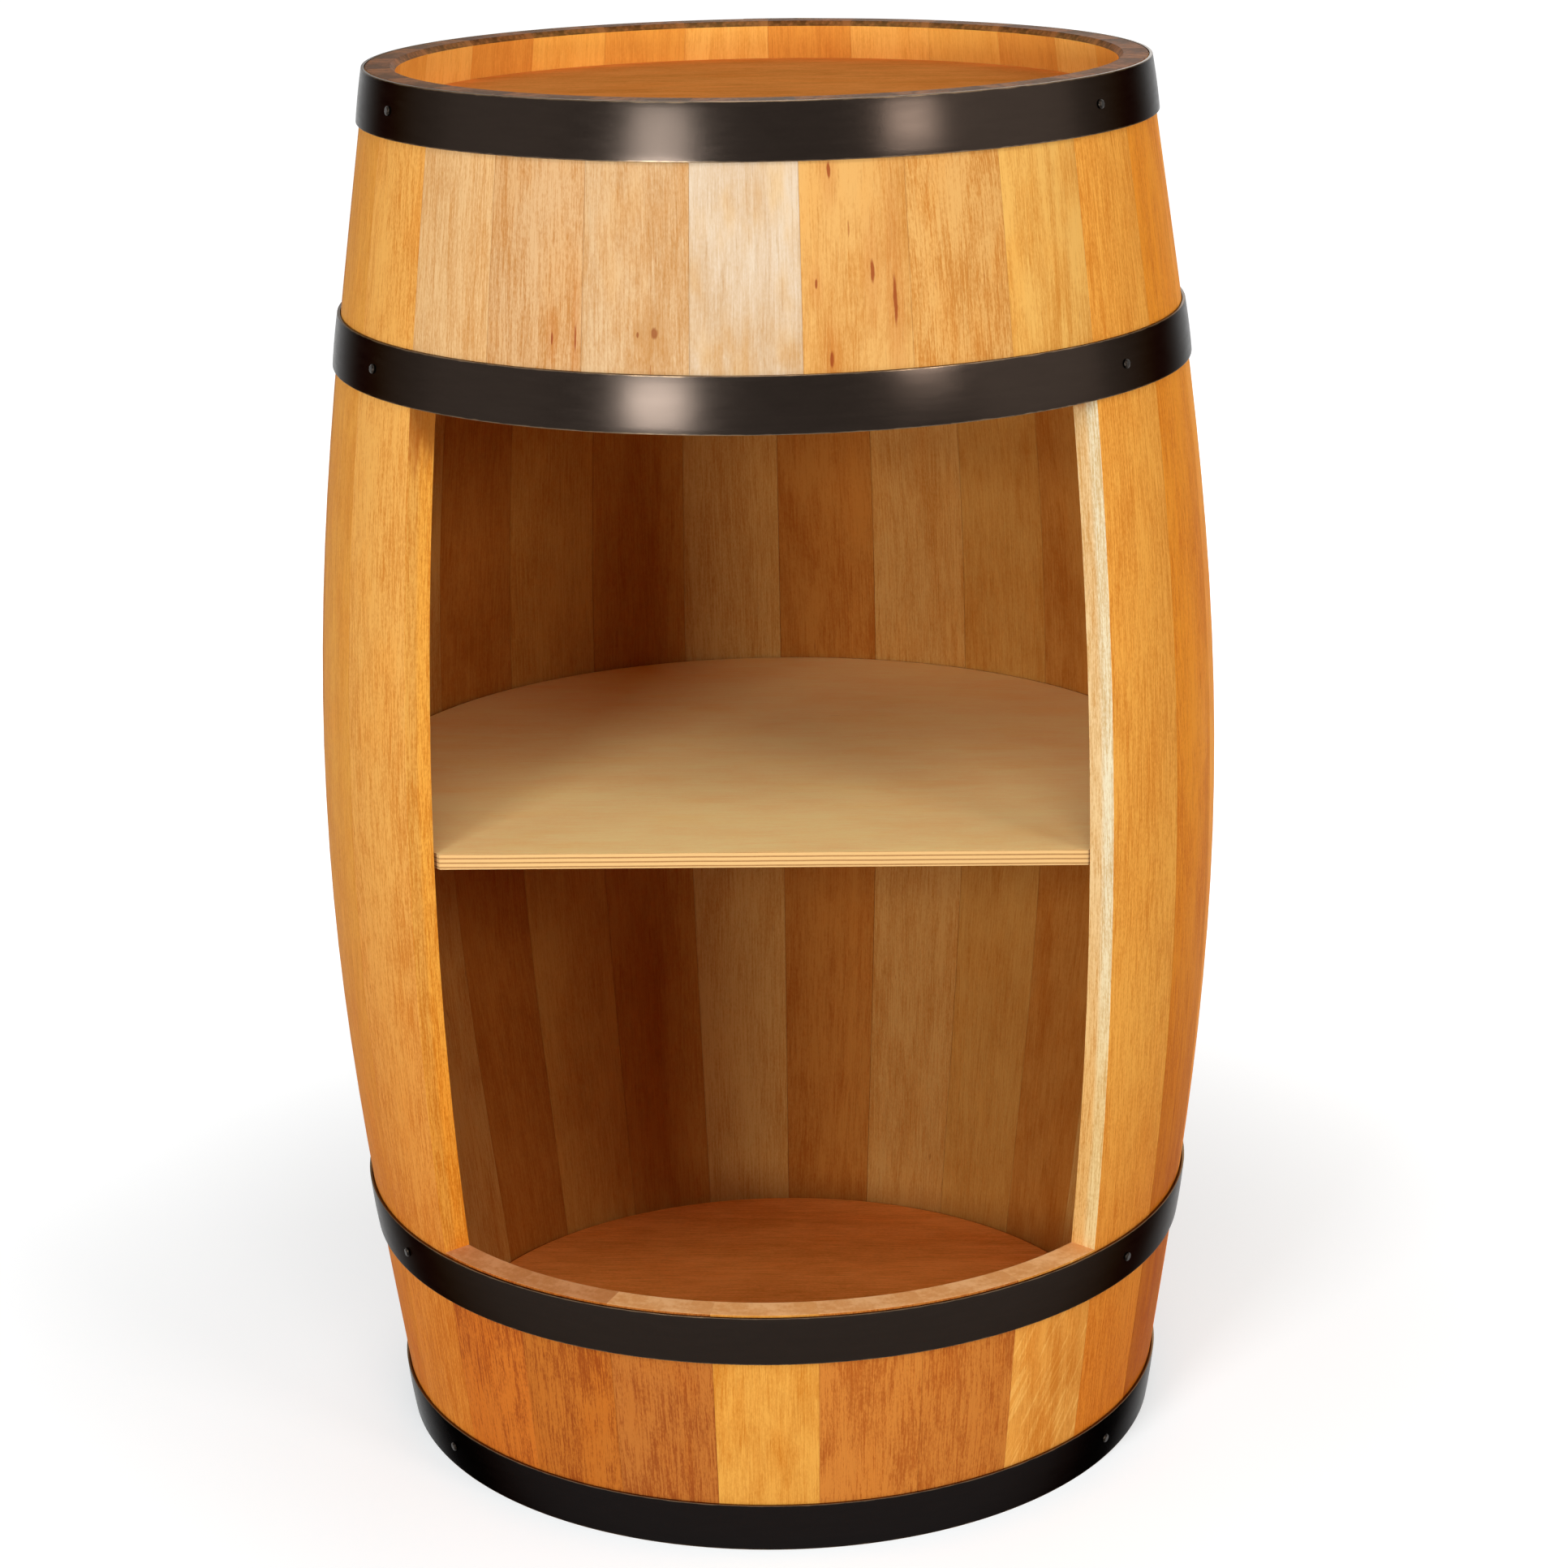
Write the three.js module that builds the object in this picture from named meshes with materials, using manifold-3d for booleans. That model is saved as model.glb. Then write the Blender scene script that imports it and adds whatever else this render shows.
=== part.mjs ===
// A barrel bar cabinet: a coopered barrel stood on end, its front staves cut away between two hoops,
// with a shelf inside. The origin is on the floor, on the barrel's axis. +Z is up and the opening faces -Y.
import * as THREE from "three";
import { mergeVertices } from "three/addons/utils/BufferGeometryUtils.js";
import Module from "manifold-3d";

const wasm = await Module();
wasm.setup();

// Driving dimensions, in millimetres. The barrel's outline is a bow, widest at the belly.
const barrelHeight = 810;
const bellyHeight = 385;
const bellyRadius = 262;
const topRadius = 218.4;
const bottomRadius = 225.7;
const bowEaseShare = -0.3; // how much of the bow follows the fourth power of the height

// Staves. Angles are in degrees, from 0 at the front, and positive towards +X.
const staveThickness = 17;
const frontStaveCount = 7;
const frontStaveAngle = 14.2;
const sideStaveCount = 9; // on each side, from the opening round to the back
const jointLeanAngle = 2.3; // how far the joints beside the opening lean in at the belly
const jointGap = 0.3;
const chimeBevel = 3;

// Hoops: flat strips, each a little proud of the staves, lapped and riveted at the back.
const hoopWidth = 30;
const hoopThickness = 1.8;
const hoopGap = 0.3;
const lapGap = 0.3;
const upperHoopDrop = 165.5; // from the rim down to the lower edge of the upper hoop
const lowerHoopHeight = 123.5;

// The front staves stop this far past the edges of the upper and the lower hoop.
const openingLedge = 1;

// Heads: round panels whose tongues lie in the croze, the groove near the staves' ends.
const headThickness = 15;
const topHeadRecess = 22.5;
const bottomHeadRecess = 9;
const tongueThickness = 8;
const crozeDepth = 5.5;
const crozeGap = 0.5;
const crozeSlope = 0.5;

// The shelf, and the blocks that carry it.
const shelfThickness = 9;
const shelfTopHeight = 395;
const shelfClearance = 2;
const shelfOffset = 1; // the shelf lies this far to the right of the middle
const cleatHeight = 15;
const cleatDepth = 15;
const cleatLength = 60;
const cleatGap = 1;

// Nails and rivets.
const nailHeadRadius = 2.6;
const nailHeadHeight = 1.2;
const nailShankRadius = 1;
const nailLength = 14;
const nailPointLength = 3;
const rivetHeadRadius = 4.5;
const rivetHeadHeight = 2.2;
const rivetShankRadius = 2.5;
const rivetSpacing = 20;
const shankGap = 0.3;
const seatGap = 0.2;
const cutOverrun = 5;

// How finely the round shapes are cut into flats.
const staveFlatCount = 3;
const staveLevelCount = 10;
const lapFlatCount = 1;
const cleatFlatCount = 3;
const shelfFlatCount = 24;
const fastenerSideCount = 8;
const headArcCount = 2;

const fullTurn = 360;
const halfTurn = fullTurn / 2;
const frontHalfAngle = (frontStaveCount * frontStaveAngle) / 2;
const sideStaveAngle = (halfTurn - frontHalfAngle) / sideStaveCount;
const staveCount = frontStaveCount + 2 * sideStaveCount;
const upperHoopHeight = barrelHeight - upperHoopDrop;
const openingTopHeight = upperHoopHeight + openingLedge;
const openingBottomHeight = lowerHoopHeight + hoopWidth + openingLedge;
const topHeadTop = barrelHeight - topHeadRecess;
const bottomHeadTop = bottomHeadRecess + headThickness;
const headShoulder = (headThickness - tongueThickness) / 2;
const shelfUnderside = shelfTopHeight - shelfThickness;
const lapDepth = 2 * hoopThickness + lapGap; // both layers of a lap, which a rivet goes through

// The share of the way from the belly to the nearer end.
function endShare(height) {
  const reach = height > bellyHeight ? barrelHeight - bellyHeight : bellyHeight;
  return Math.abs(height - bellyHeight) / reach;
}

// The staves' outer radius at a height.
function outerRadius(height) {
  const share = endShare(height);
  const endRadius = height > bellyHeight ? topRadius : bottomRadius;
  const bow = (1 - bowEaseShare) * share ** 2 + bowEaseShare * share ** 4;
  return bellyRadius - (bellyRadius - endRadius) * bow;
}

function innerRadius(height) {
  return outerRadius(height) - staveThickness;
}

// A point at an angle from the front, a distance from the axis and a height.
function pointAt(angle, radius, height) {
  const turn = THREE.MathUtils.degToRad(angle);
  return new THREE.Vector3(Math.sin(turn) * radius, -Math.cos(turn) * radius, height);
}

// The angle that a length along the circle takes up.
function angleOfLength(length, radius) {
  return THREE.MathUtils.radToDeg(length / radius);
}

// The joints are numbered from the back, round by the left, the front and the right, to the back again.
function jointAngleAtEnds(joint) {
  const pastLeft = Math.max(joint - sideStaveCount, 0);
  const pastFront = Math.max(pastLeft - frontStaveCount, 0);
  const left = Math.min(joint, sideStaveCount) * sideStaveAngle;
  const front = Math.min(pastLeft, frontStaveCount) * frontStaveAngle;
  return -halfTurn + left + front + pastFront * sideStaveAngle;
}

// A joint leans towards the middle of the opening at the belly, and most beside the opening.
function jointAngle(joint, height) {
  const angle = jointAngleAtEnds(joint);
  const size = Math.abs(angle);
  const frontShare = size / frontHalfAngle;
  const sideShare = (halfTurn - size) / (halfTurn - frontHalfAngle);
  const bellyShare = (1 - endShare(height) ** 2) ** 2;
  return angle - Math.sign(angle) * jointLeanAngle * Math.min(frontShare, sideShare) * bellyShare;
}

// The angles of the corners of one stave's flats at a height, between its two joints.
function staveAngles(stave, height) {
  const halfGap = angleOfLength(jointGap / 2, outerRadius(height));
  const from = jointAngle(stave, height) + halfGap;
  const to = jointAngle(stave + 1, height) - halfGap;
  return spread(from, to, staveFlatCount);
}

// Evenly spaced values from one to another, both included.
function spread(from, to, count) {
  return Array.from({ length: count + 1 }, (_, step) => from + ((to - from) * step) / count);
}

// A closed solid through rings of points. Each ring runs out along one side and back along the other,
// anticlockwise as seen from the last ring, and the end faces are strips across it.
function loft(rings) {
  const size = rings[0].length;
  const index = [];
  const addQuad = (a, b, c, d) => index.push(a, b, c, a, c, d);
  for (let ring = 0; ring < rings.length - 1; ring += 1) {
    for (let corner = 0; corner < size; corner += 1) {
      const next = (corner + 1) % size;
      const here = ring * size;
      const there = here + size;
      addQuad(here + corner, here + next, there + next, there + corner);
    }
  }
  const last = (rings.length - 1) * size;
  for (let corner = 0; corner < size / 2 - 1; corner += 1) {
    const back = size - 1 - corner;
    addQuad(last + corner, last + corner + 1, last + back - 1, last + back);
    addQuad(back, back - 1, corner + 1, corner);
  }
  const geometry = new THREE.BufferGeometry().setFromPoints(rings.flat());
  geometry.setIndex(index);
  return geometry;
}

// The geometry as a solid that can be cut.
function toSolid(geometry) {
  const bare = geometry.clone();
  bare.deleteAttribute("normal");
  bare.deleteAttribute("uv");
  const merged = mergeVertices(bare);
  const vertProperties = merged.attributes.position.array;
  const triVerts = new Uint32Array(merged.index.array);
  return new wasm.Manifold(new wasm.Mesh({ numProp: 3, vertProperties, triVerts }));
}

// The geometry with every cutter taken away.
function cutAway(geometry, cutters) {
  let solid = toSolid(geometry);
  cutters.forEach((cutter) => {
    solid = solid.subtract(toSolid(cutter));
  });
  const mesh = solid.getMesh();
  const cut = new THREE.BufferGeometry();
  cut.setAttribute("position", new THREE.BufferAttribute(mesh.vertProperties, mesh.numProp));
  cut.setIndex(new THREE.BufferAttribute(mesh.triVerts, 1));
  return cut;
}

// A turned solid about the Z axis, from a profile of radius and height pairs, lowest first.
function turned(profile, sideCount) {
  const points = profile.map(([radius, height]) => new THREE.Vector2(radius, height));
  return new THREE.LatheGeometry(points, sideCount).rotateX(Math.PI / 2);
}

function named(name, geometry, material) {
  geometry.computeVertexNormals();
  const mesh = new THREE.Mesh(geometry, material);
  mesh.name = name;
  return mesh;
}

function wood(color) {
  return new THREE.MeshStandardMaterial({ color, roughness: 0.55, metalness: 0 });
}

function paintedSteel() {
  return new THREE.MeshStandardMaterial({ color: "#1d1a19", roughness: 0.4, metalness: 0.6 });
}

const woodTones = ["#c98238", "#b9722f", "#d39547", "#a9662b", "#cb8a41"];
const upperFrontTones = ["#cf8a3c", "#b67c42", "#d9a45c", "#e3bc7a", "#c07c3a", "#b07a42", "#d69a45"];
const lowerFrontTones = ["#c08038", "#b5702d", "#a87238", "#d2923f", "#b06c2e", "#b9762f", "#d1964a"];

// The levels of a stave, each a height and the depth cut from the inner face there: the bevels at the
// chimes, the two croze grooves and the levels between them that follow the bow.
function staveLevels() {
  const lowerCroze = crozeLevels(bottomHeadTop - headShoulder);
  const upperCroze = crozeLevels(topHeadTop - headShoulder);
  const from = lowerCroze.at(-1).height;
  const to = upperCroze[0].height;
  const between = spread(from, to, staveLevelCount).slice(1, -1);
  return [
    { height: 0, cut: chimeBevel },
    { height: chimeBevel, cut: 0 },
    ...lowerCroze,
    ...between.map((height) => ({ height, cut: 0 })),
    ...upperCroze,
    { height: barrelHeight - chimeBevel, cut: 0 },
    { height: barrelHeight, cut: chimeBevel },
  ];
}

// The groove round a tongue whose top is at the given height.
function crozeLevels(tongueTop) {
  const low = tongueTop - tongueThickness - crozeGap;
  const high = tongueTop + crozeGap;
  return [
    { height: low - crozeSlope, cut: 0 },
    { height: low, cut: crozeDepth },
    { height: high, cut: crozeDepth },
    { height: high + crozeSlope, cut: 0 },
  ];
}

// The levels between two heights, with a plain level added where the stave is sawn off.
function levelsBetween(low, high) {
  const levels = staveLevels().filter((level) => level.height >= low && level.height <= high);
  if (levels[0].height > low) {
    levels.unshift({ height: low, cut: 0 });
  }
  if (levels.at(-1).height < high) {
    levels.push({ height: high, cut: 0 });
  }
  return levels;
}

// One stave between two heights.
function staveGeometry(stave, low, high) {
  const rings = levelsBetween(low, high).map(({ height, cut }) => {
    const angles = staveAngles(stave, height);
    const outside = angles.map((angle) => pointAt(angle, outerRadius(height), height));
    const inside = angles.map((angle) => pointAt(angle, innerRadius(height) + cut, height));
    return [...outside, ...inside.reverse()];
  });
  return loft(rings);
}

const hoops = [
  { name: "top", low: barrelHeight - hoopWidth, nailAngles: [-60.1, 56] },
  { name: "upper", low: upperHoopHeight, nailAngles: [-57.9, 55] },
  { name: "lower", low: lowerHoopHeight, nailAngles: [-59.2, 56.4] },
  { name: "bottom", low: 0, nailAngles: [-55.4, 57.9] },
];

// The corners of all the staves' flats at a height, from the back round to the back.
function flatAngles(height) {
  const corners = [-halfTurn];
  for (let stave = 0; stave < staveCount; stave += 1) {
    const from = jointAngle(stave, height);
    const to = jointAngle(stave + 1, height);
    corners.push(...spread(from, to, staveFlatCount).slice(1));
  }
  return corners;
}

// The corners of a hoop's flats: once round, and on past the back at both ends for the lap.
function hoopAngles(height) {
  const once = flatAngles(height);
  const before = once.slice(-lapFlatCount - 1, -1).map((angle) => angle - fullTurn);
  const after = once.slice(1, lapFlatCount + 1).map((angle) => angle + fullTurn);
  return [...before, ...once, ...after];
}

// A hoop before its holes are made. Its far end steps up and lies over its near end.
function hoopStrip(low) {
  const high = low + hoopWidth;
  const lowAngles = hoopAngles(low);
  const highAngles = hoopAngles(high);
  const firstLifted = lowAngles.length - 1 - 2 * lapFlatCount;
  const rings = lowAngles.map((lowAngle, corner) => {
    const gap = corner >= firstLifted ? hoopGap + hoopThickness + lapGap : hoopGap;
    return [
      pointAt(lowAngle, outerRadius(low) + gap, low),
      pointAt(highAngles[corner], outerRadius(high) + gap, high),
      pointAt(highAngles[corner], outerRadius(high) + gap + hoopThickness, high),
      pointAt(lowAngle, outerRadius(low) + gap + hoopThickness, low),
    ];
  });
  return loft(rings);
}

// Where a fastener's head sits on a hoop, over a depth of steel: its Z axis points out of the hoop's face.
function hoopSeat(low, angle, steelDepth) {
  const high = low + hoopWidth;
  const height = (low + high) / 2;
  const across = outerRadius(high) - outerRadius(low);
  const radius = (outerRadius(low) + outerRadius(high)) / 2 + hoopGap + steelDepth;
  const outward = pointAt(angle, hoopWidth, -across).normalize();
  const turn = new THREE.Quaternion().setFromUnitVectors(new THREE.Vector3(0, 0, 1), outward);
  const size = new THREE.Vector3(1, 1, 1);
  return new THREE.Matrix4().compose(pointAt(angle, radius, height), turn, size);
}

// A drill along a seat's axis, from above the seat to a depth below it.
function drill(seat, radius, depth) {
  const cylinder = new THREE.CylinderGeometry(radius, radius, depth + cutOverrun, fastenerSideCount);
  cylinder.rotateX(Math.PI / 2);
  cylinder.translate(0, 0, (cutOverrun - depth) / 2);
  return cylinder.applyMatrix4(seat);
}

// The outline of a low domed head that stands on its seat, from its rim to its crown.
function domeProfile(radius, height) {
  return spread(0, Math.PI / 2, headArcCount).map((turn) => [
    turn < Math.PI / 2 ? radius * Math.cos(turn) : 0,
    seatGap + height * Math.sin(turn),
  ]);
}

function nailGeometry(seat) {
  const profile = [
    [0, -nailLength],
    [nailShankRadius, nailPointLength - nailLength],
    [nailShankRadius, seatGap],
    ...domeProfile(nailHeadRadius, nailHeadHeight),
  ];
  return turned(profile, fastenerSideCount).applyMatrix4(seat);
}

function rivetGeometry(seat) {
  const profile = [
    [0, -lapDepth],
    [rivetShankRadius, -lapDepth],
    [rivetShankRadius, seatGap],
    ...domeProfile(rivetHeadRadius, rivetHeadHeight),
  ];
  return turned(profile, fastenerSideCount).applyMatrix4(seat);
}

function nailSeats(hoop) {
  return hoop.nailAngles.map((angle) => hoopSeat(hoop.low, angle, hoopThickness));
}

function rivetSeats(hoop) {
  const halfAngle = angleOfLength(rivetSpacing / 2, outerRadius(hoop.low));
  return [-halfAngle, halfAngle].map((angle) => hoopSeat(hoop.low, halfTurn + angle, lapDepth));
}

function hoopGeometry(hoop) {
  const nailHoles = nailSeats(hoop).map((seat) => drill(seat, nailShankRadius + shankGap, nailLength));
  const rivetHoles = rivetSeats(hoop).map((seat) => {
    return drill(seat, rivetShankRadius + shankGap, lapDepth + hoopGap);
  });
  return cutAway(hoopStrip(hoop.low), [...nailHoles, ...rivetHoles]);
}

// The nails' drills that a stave takes: those of every hoop whose nail stands on it.
function nailHolesIn(stave) {
  const inStave = (angle, height) => {
    return angle > jointAngle(stave, height) && angle < jointAngle(stave + 1, height);
  };
  return hoops.flatMap((hoop) => {
    const seats = nailSeats(hoop);
    const height = hoop.low + hoopWidth / 2;
    const taken = seats.filter((_, side) => inStave(hoop.nailAngles[side], height));
    return taken.map((seat) => drill(seat, nailShankRadius + shankGap, nailLength + shankGap));
  });
}

function addStave(name, stave, low, high, tone) {
  const holes = nailHolesIn(stave);
  const whole = staveGeometry(stave, low, high);
  const geometry = holes.length > 0 ? cutAway(whole, holes) : whole;
  return named(name, geometry, wood(tone));
}

// The staves on both sides, numbered from the opening to the back.
function makeSideStaves() {
  const group = new THREE.Group();
  for (let number = 1; number <= sideStaveCount; number += 1) {
    const left = sideStaveCount - number;
    const right = sideStaveCount + frontStaveCount + number - 1;
    const leftTone = woodTones[number % woodTones.length];
    const rightTone = woodTones[(number + 2) % woodTones.length];
    group.add(addStave(`stave_left_${number}`, left, 0, barrelHeight, leftTone));
    group.add(addStave(`stave_right_${number}`, right, 0, barrelHeight, rightTone));
  }
  return group;
}

// The short staves above and below the opening, numbered from left to right.
function makeFrontStaves() {
  const group = new THREE.Group();
  for (let number = 1; number <= frontStaveCount; number += 1) {
    const stave = sideStaveCount + number - 1;
    const upperTone = upperFrontTones[(number - 1) % upperFrontTones.length];
    const lowerTone = lowerFrontTones[(number - 1) % lowerFrontTones.length];
    group.add(addStave(`upper_stave_${number}`, stave, openingTopHeight, barrelHeight, upperTone));
    group.add(addStave(`lower_stave_${number}`, stave, 0, openingBottomHeight, lowerTone));
  }
  return group;
}

function makeHoops() {
  const group = new THREE.Group();
  hoops.forEach((hoop) => {
    group.add(named(`hoop_${hoop.name}`, hoopGeometry(hoop), paintedSteel()));
    nailSeats(hoop).forEach((seat, side) => {
      const name = `nail_${hoop.name}_${["left", "right"][side]}`;
      group.add(named(name, nailGeometry(seat), paintedSteel()));
    });
    rivetSeats(hoop).forEach((seat, side) => {
      const name = `rivet_${hoop.name}_${["right", "left"][side]}`;
      group.add(named(name, rivetGeometry(seat), paintedSteel()));
    });
  });
  return group;
}

// A head: a round panel with a thinner tongue at the middle of its edge.
function headGeometry(top) {
  const underside = top - headThickness;
  const tongueTop = top - headShoulder;
  const tongueUnderside = underside + headShoulder;
  const wall = Math.min(innerRadius(underside), innerRadius(top));
  const body = wall - crozeGap;
  const tip = wall + crozeDepth - crozeGap;
  const profile = [
    [0, underside],
    [body, underside],
    [body, tongueUnderside],
    [tip, tongueUnderside],
    [tip, tongueTop],
    [body, tongueTop],
    [body, top],
    [0, top],
  ];
  return turned(profile, staveCount * staveFlatCount);
}

function makeHeads() {
  const group = new THREE.Group();
  group.add(named("top_head", headGeometry(topHeadTop), wood("#9a6231")));
  group.add(named("bottom_head", headGeometry(bottomHeadTop), wood("#8f5a2d")));
  return group;
}

// The shelf: a straight front edge between the two sides of the opening, and round to the wall behind it.
function makeShelf() {
  const radius = innerRadius(shelfTopHeight) - shelfClearance;
  const side = THREE.MathUtils.degToRad(jointAngle(sideStaveCount + frontStaveCount, shelfTopHeight));
  const shape = new THREE.Shape();
  shape.absarc(shelfOffset, 0, radius, side - Math.PI / 2, Math.PI * 2 - side - Math.PI / 2, false);
  shape.closePath();
  const settings = { depth: shelfThickness, bevelEnabled: false, curveSegments: shelfFlatCount };
  const geometry = new THREE.ExtrudeGeometry(shape, settings);
  geometry.translate(0, 0, shelfUnderside);
  return named("shelf", geometry, wood("#c79a63"));
}

// A block against the wall, under the shelf. Its outer face follows the wall.
function cleatGeometry(middle) {
  const halfAngle = angleOfLength(cleatLength / 2, innerRadius(shelfUnderside));
  const angles = spread(middle - halfAngle, middle + halfAngle, cleatFlatCount);
  const low = shelfUnderside - cleatHeight;
  const rings = [low, shelfUnderside].map((height) => {
    const wall = innerRadius(height) - cleatGap;
    const outside = angles.map((angle) => pointAt(angle, wall, height));
    const inside = angles.map((angle) => pointAt(angle, wall - cleatDepth, height));
    return [...outside, ...inside.reverse()];
  });
  return loft(rings);
}

function makeCleats() {
  const group = new THREE.Group();
  const quarterTurn = halfTurn / 2;
  const places = { left: -quarterTurn, rear: halfTurn, right: quarterTurn };
  Object.entries(places).forEach(([place, angle]) => {
    group.add(named(`shelf_cleat_${place}`, cleatGeometry(angle), wood("#b98247")));
  });
  return group;
}

const cabinet = new THREE.Group();
cabinet.add(makeSideStaves());
cabinet.add(makeFrontStaves());
cabinet.add(makeHoops());
cabinet.add(makeHeads());
cabinet.add(makeShelf());
cabinet.add(makeCleats());

export default cabinet;
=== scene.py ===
# A barrel bar cabinet: a coopered barrel stood on end, its front staves cut away between two hoops,
# with a plywood shelf inside. Metres, +Z up, the opening faces -Y, and the origin is on the floor.
import math
import random

import bmesh
import bpy
from mathutils import Matrix, Vector


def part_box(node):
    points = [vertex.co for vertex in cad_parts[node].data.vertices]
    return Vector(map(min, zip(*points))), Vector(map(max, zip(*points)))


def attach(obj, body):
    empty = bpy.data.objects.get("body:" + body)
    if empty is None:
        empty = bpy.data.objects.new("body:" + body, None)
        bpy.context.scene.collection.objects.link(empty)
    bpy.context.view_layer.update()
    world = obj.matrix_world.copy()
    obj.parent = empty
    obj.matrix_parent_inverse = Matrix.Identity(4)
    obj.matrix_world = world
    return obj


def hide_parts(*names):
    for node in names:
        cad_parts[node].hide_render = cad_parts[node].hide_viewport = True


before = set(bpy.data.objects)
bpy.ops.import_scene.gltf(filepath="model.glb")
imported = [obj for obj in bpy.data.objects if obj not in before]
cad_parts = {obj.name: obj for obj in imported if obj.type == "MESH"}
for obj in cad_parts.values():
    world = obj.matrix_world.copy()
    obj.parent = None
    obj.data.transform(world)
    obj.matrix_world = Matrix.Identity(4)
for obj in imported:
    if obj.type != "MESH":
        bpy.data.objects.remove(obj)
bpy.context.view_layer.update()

bl_info = {
    "name": "Barrel bar cabinet",
    "version": (1, 0, 0),
    "blender": (4, 5, 0),
    "location": "View3D > Sidebar > Barrel",
    "description": "A coopered barrel with an open front, a shelf and steel hoops",
    "category": "Object",
}

MM = 0.001

# The barrel's outline and its parting into staves.
BELLY_HEIGHT = 385 * MM
BOW_EASE_SHARE = -0.3
FRONT_STAVES = 7
FRONT_STAVE_ANGLE = 14.2
SIDE_STAVES = 9
JOINT_LEAN_ANGLE = 2.3
HALF_TURN = 180.0
FRONT_HALF_ANGLE = FRONT_STAVES * FRONT_STAVE_ANGLE / 2
SIDE_STAVE_ANGLE = (HALF_TURN - FRONT_HALF_ANGLE) / SIDE_STAVES

# Boards, before they are bent to the barrel.
BOARD_WIDTH = 66 * MM
BOARD_STRIPS = 6
FEWEST_LEVELS = 2
LEVEL_STEP = 30 * MM
JOINT_ROUND = 0.35 * MM
END_ROUND = 0.7 * MM
CHIME_BEVEL = 3 * MM
LONG_EDGE = 5 * CHIME_BEVEL
INNER_FACE_REACH = 1.1 * JOINT_ROUND

# Heads and their grooves.
HEAD_THICKNESS = 15 * MM
TONGUE_THICKNESS = 8 * MM
CROZE_DEPTH = 5.5 * MM
CROZE_GAP = 0.5 * MM
CROZE_SLOPE = 0.5 * MM
CROZE_CLEARANCE = 4 * MM
HEAD_SHOULDER = (HEAD_THICKNESS - TONGUE_THICKNESS) / 2
HEAD_SIDES = 150
HEAD_ROUND = 1 * MM

# Hoops, nails and rivets.
HOOP_GAP = 0.3 * MM
LAP_GAP = 0.3 * MM
LAP_ANGLE = 9.6
LAP_RISE_ANGLE = 5.0
HOOP_ROUND = 0.4 * MM
HOOP_CORNER = 4 * MM
HOOP_CORNER_SEGMENTS = 4
HOOP_CUTS = 15
HOOP_CUT_ROUNDS = 2
HOOP_LONG_SHARE = 1 / 50
HOOP_ROWS = 8
HOOP_CROWN = 0.3 * MM
NAIL_RADIUS = 2.6 * MM
NAIL_HEIGHT = 1.2 * MM
NAIL_SHANK_RADIUS = 1 * MM
NAIL_LENGTH = 14 * MM
NAIL_POINT = 3 * MM
RIVET_RADIUS = 4.5 * MM
RIVET_HEIGHT = 2.2 * MM
RIVET_SHANK_RADIUS = 2.5 * MM
RIVET_SPACING = 20 * MM
SEAT_GAP = 0.2 * MM
FASTENER_SIDES = 24
DOME_SHARE = 0.9
DOME_SEGMENTS = 4
POINT_SHARE = 0.1

# The shelf and its blocks.
SHELF_CLEARANCE = 2 * MM
SHELF_OFFSET = 1 * MM
SHELF_SIDES = 180
SHELF_ROUND = 0.4 * MM
CLEAT_SIZE = 15 * MM
CLEAT_LENGTH = 60 * MM
CLEAT_GAP = 1 * MM
CLEAT_ROUND = 0.8 * MM
CLEAT_STRIPS = 6

# Shaping: how near counts as the same place, which way an edge or a face points, and how it is rounded.
NEAR_ENOUGH = 0.01 * MM
MERGE_DISTANCE = 0.002 * MM
MOSTLY = 0.9
HARDLY = 0.1
ROUND_SEGMENTS = 2
SMOOTH_ANGLE = math.radians(35)
QUARTER_TURN = math.radians(90)


def node_low(name):
    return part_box(name)[0]


def node_high(name):
    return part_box(name)[1]


HEIGHT = node_high("stave_left_1").z
OPENING_TOP = node_low("upper_stave_4").z
OPENING_BOTTOM = node_high("lower_stave_4").z
SHELF_LOW = node_low("shelf").z
SHELF_HIGH = node_high("shelf").z
HEAD_TOPS = {"top_head": node_high("top_head").z, "bottom_head": node_high("bottom_head").z}
HOOP_LOWS = {name: node_low(f"hoop_{name}").z for name in ("top", "upper", "lower", "bottom")}
HOOP_WIDTH = node_high("hoop_top").z - node_low("hoop_top").z

NAIL_ANGLES = {
    "top": (-60.1, 56.0),
    "upper": (-57.9, 55.0),
    "lower": (-59.2, 56.4),
    "bottom": (-55.4, 57.9),
}


def length_property(label, description, size):
    return bpy.props.FloatProperty(name=label, description=description, default=size, unit="LENGTH")


class BarrelSizes(bpy.types.PropertyGroup):
    """The sizes that set the barrel's shape."""

    belly_radius: length_property("Belly radius", "Outer radius at the widest place", 262 * MM)
    top_radius: length_property("Top radius", "Outer radius of the staves at the top", 218.4 * MM)
    bottom_radius: length_property("Bottom radius", "Outer radius of the staves at the floor", 225.7 * MM)
    stave_thickness: length_property("Stave thickness", "Thickness of every stave", 17 * MM)
    hoop_thickness: length_property("Hoop thickness", "Thickness of the flat steel", 1.8 * MM)


def colour_property(label, description, text):
    return bpy.props.FloatVectorProperty(
        name=label, description=description, default=linear(text), subtype="COLOR",
        size=4, min=0.0, max=1.0,
    )


def linear(text):
    """A colour written as #rrggbb, as linear values with an alpha of 1."""
    shares = [int(text[at:at + 2], 16) / 255 for at in (1, 3, 5)]
    return tuple(s / 12.92 if s <= 0.04045 else ((s + 0.055) / 1.055) ** 2.4 for s in shares) + (1.0,)


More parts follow.
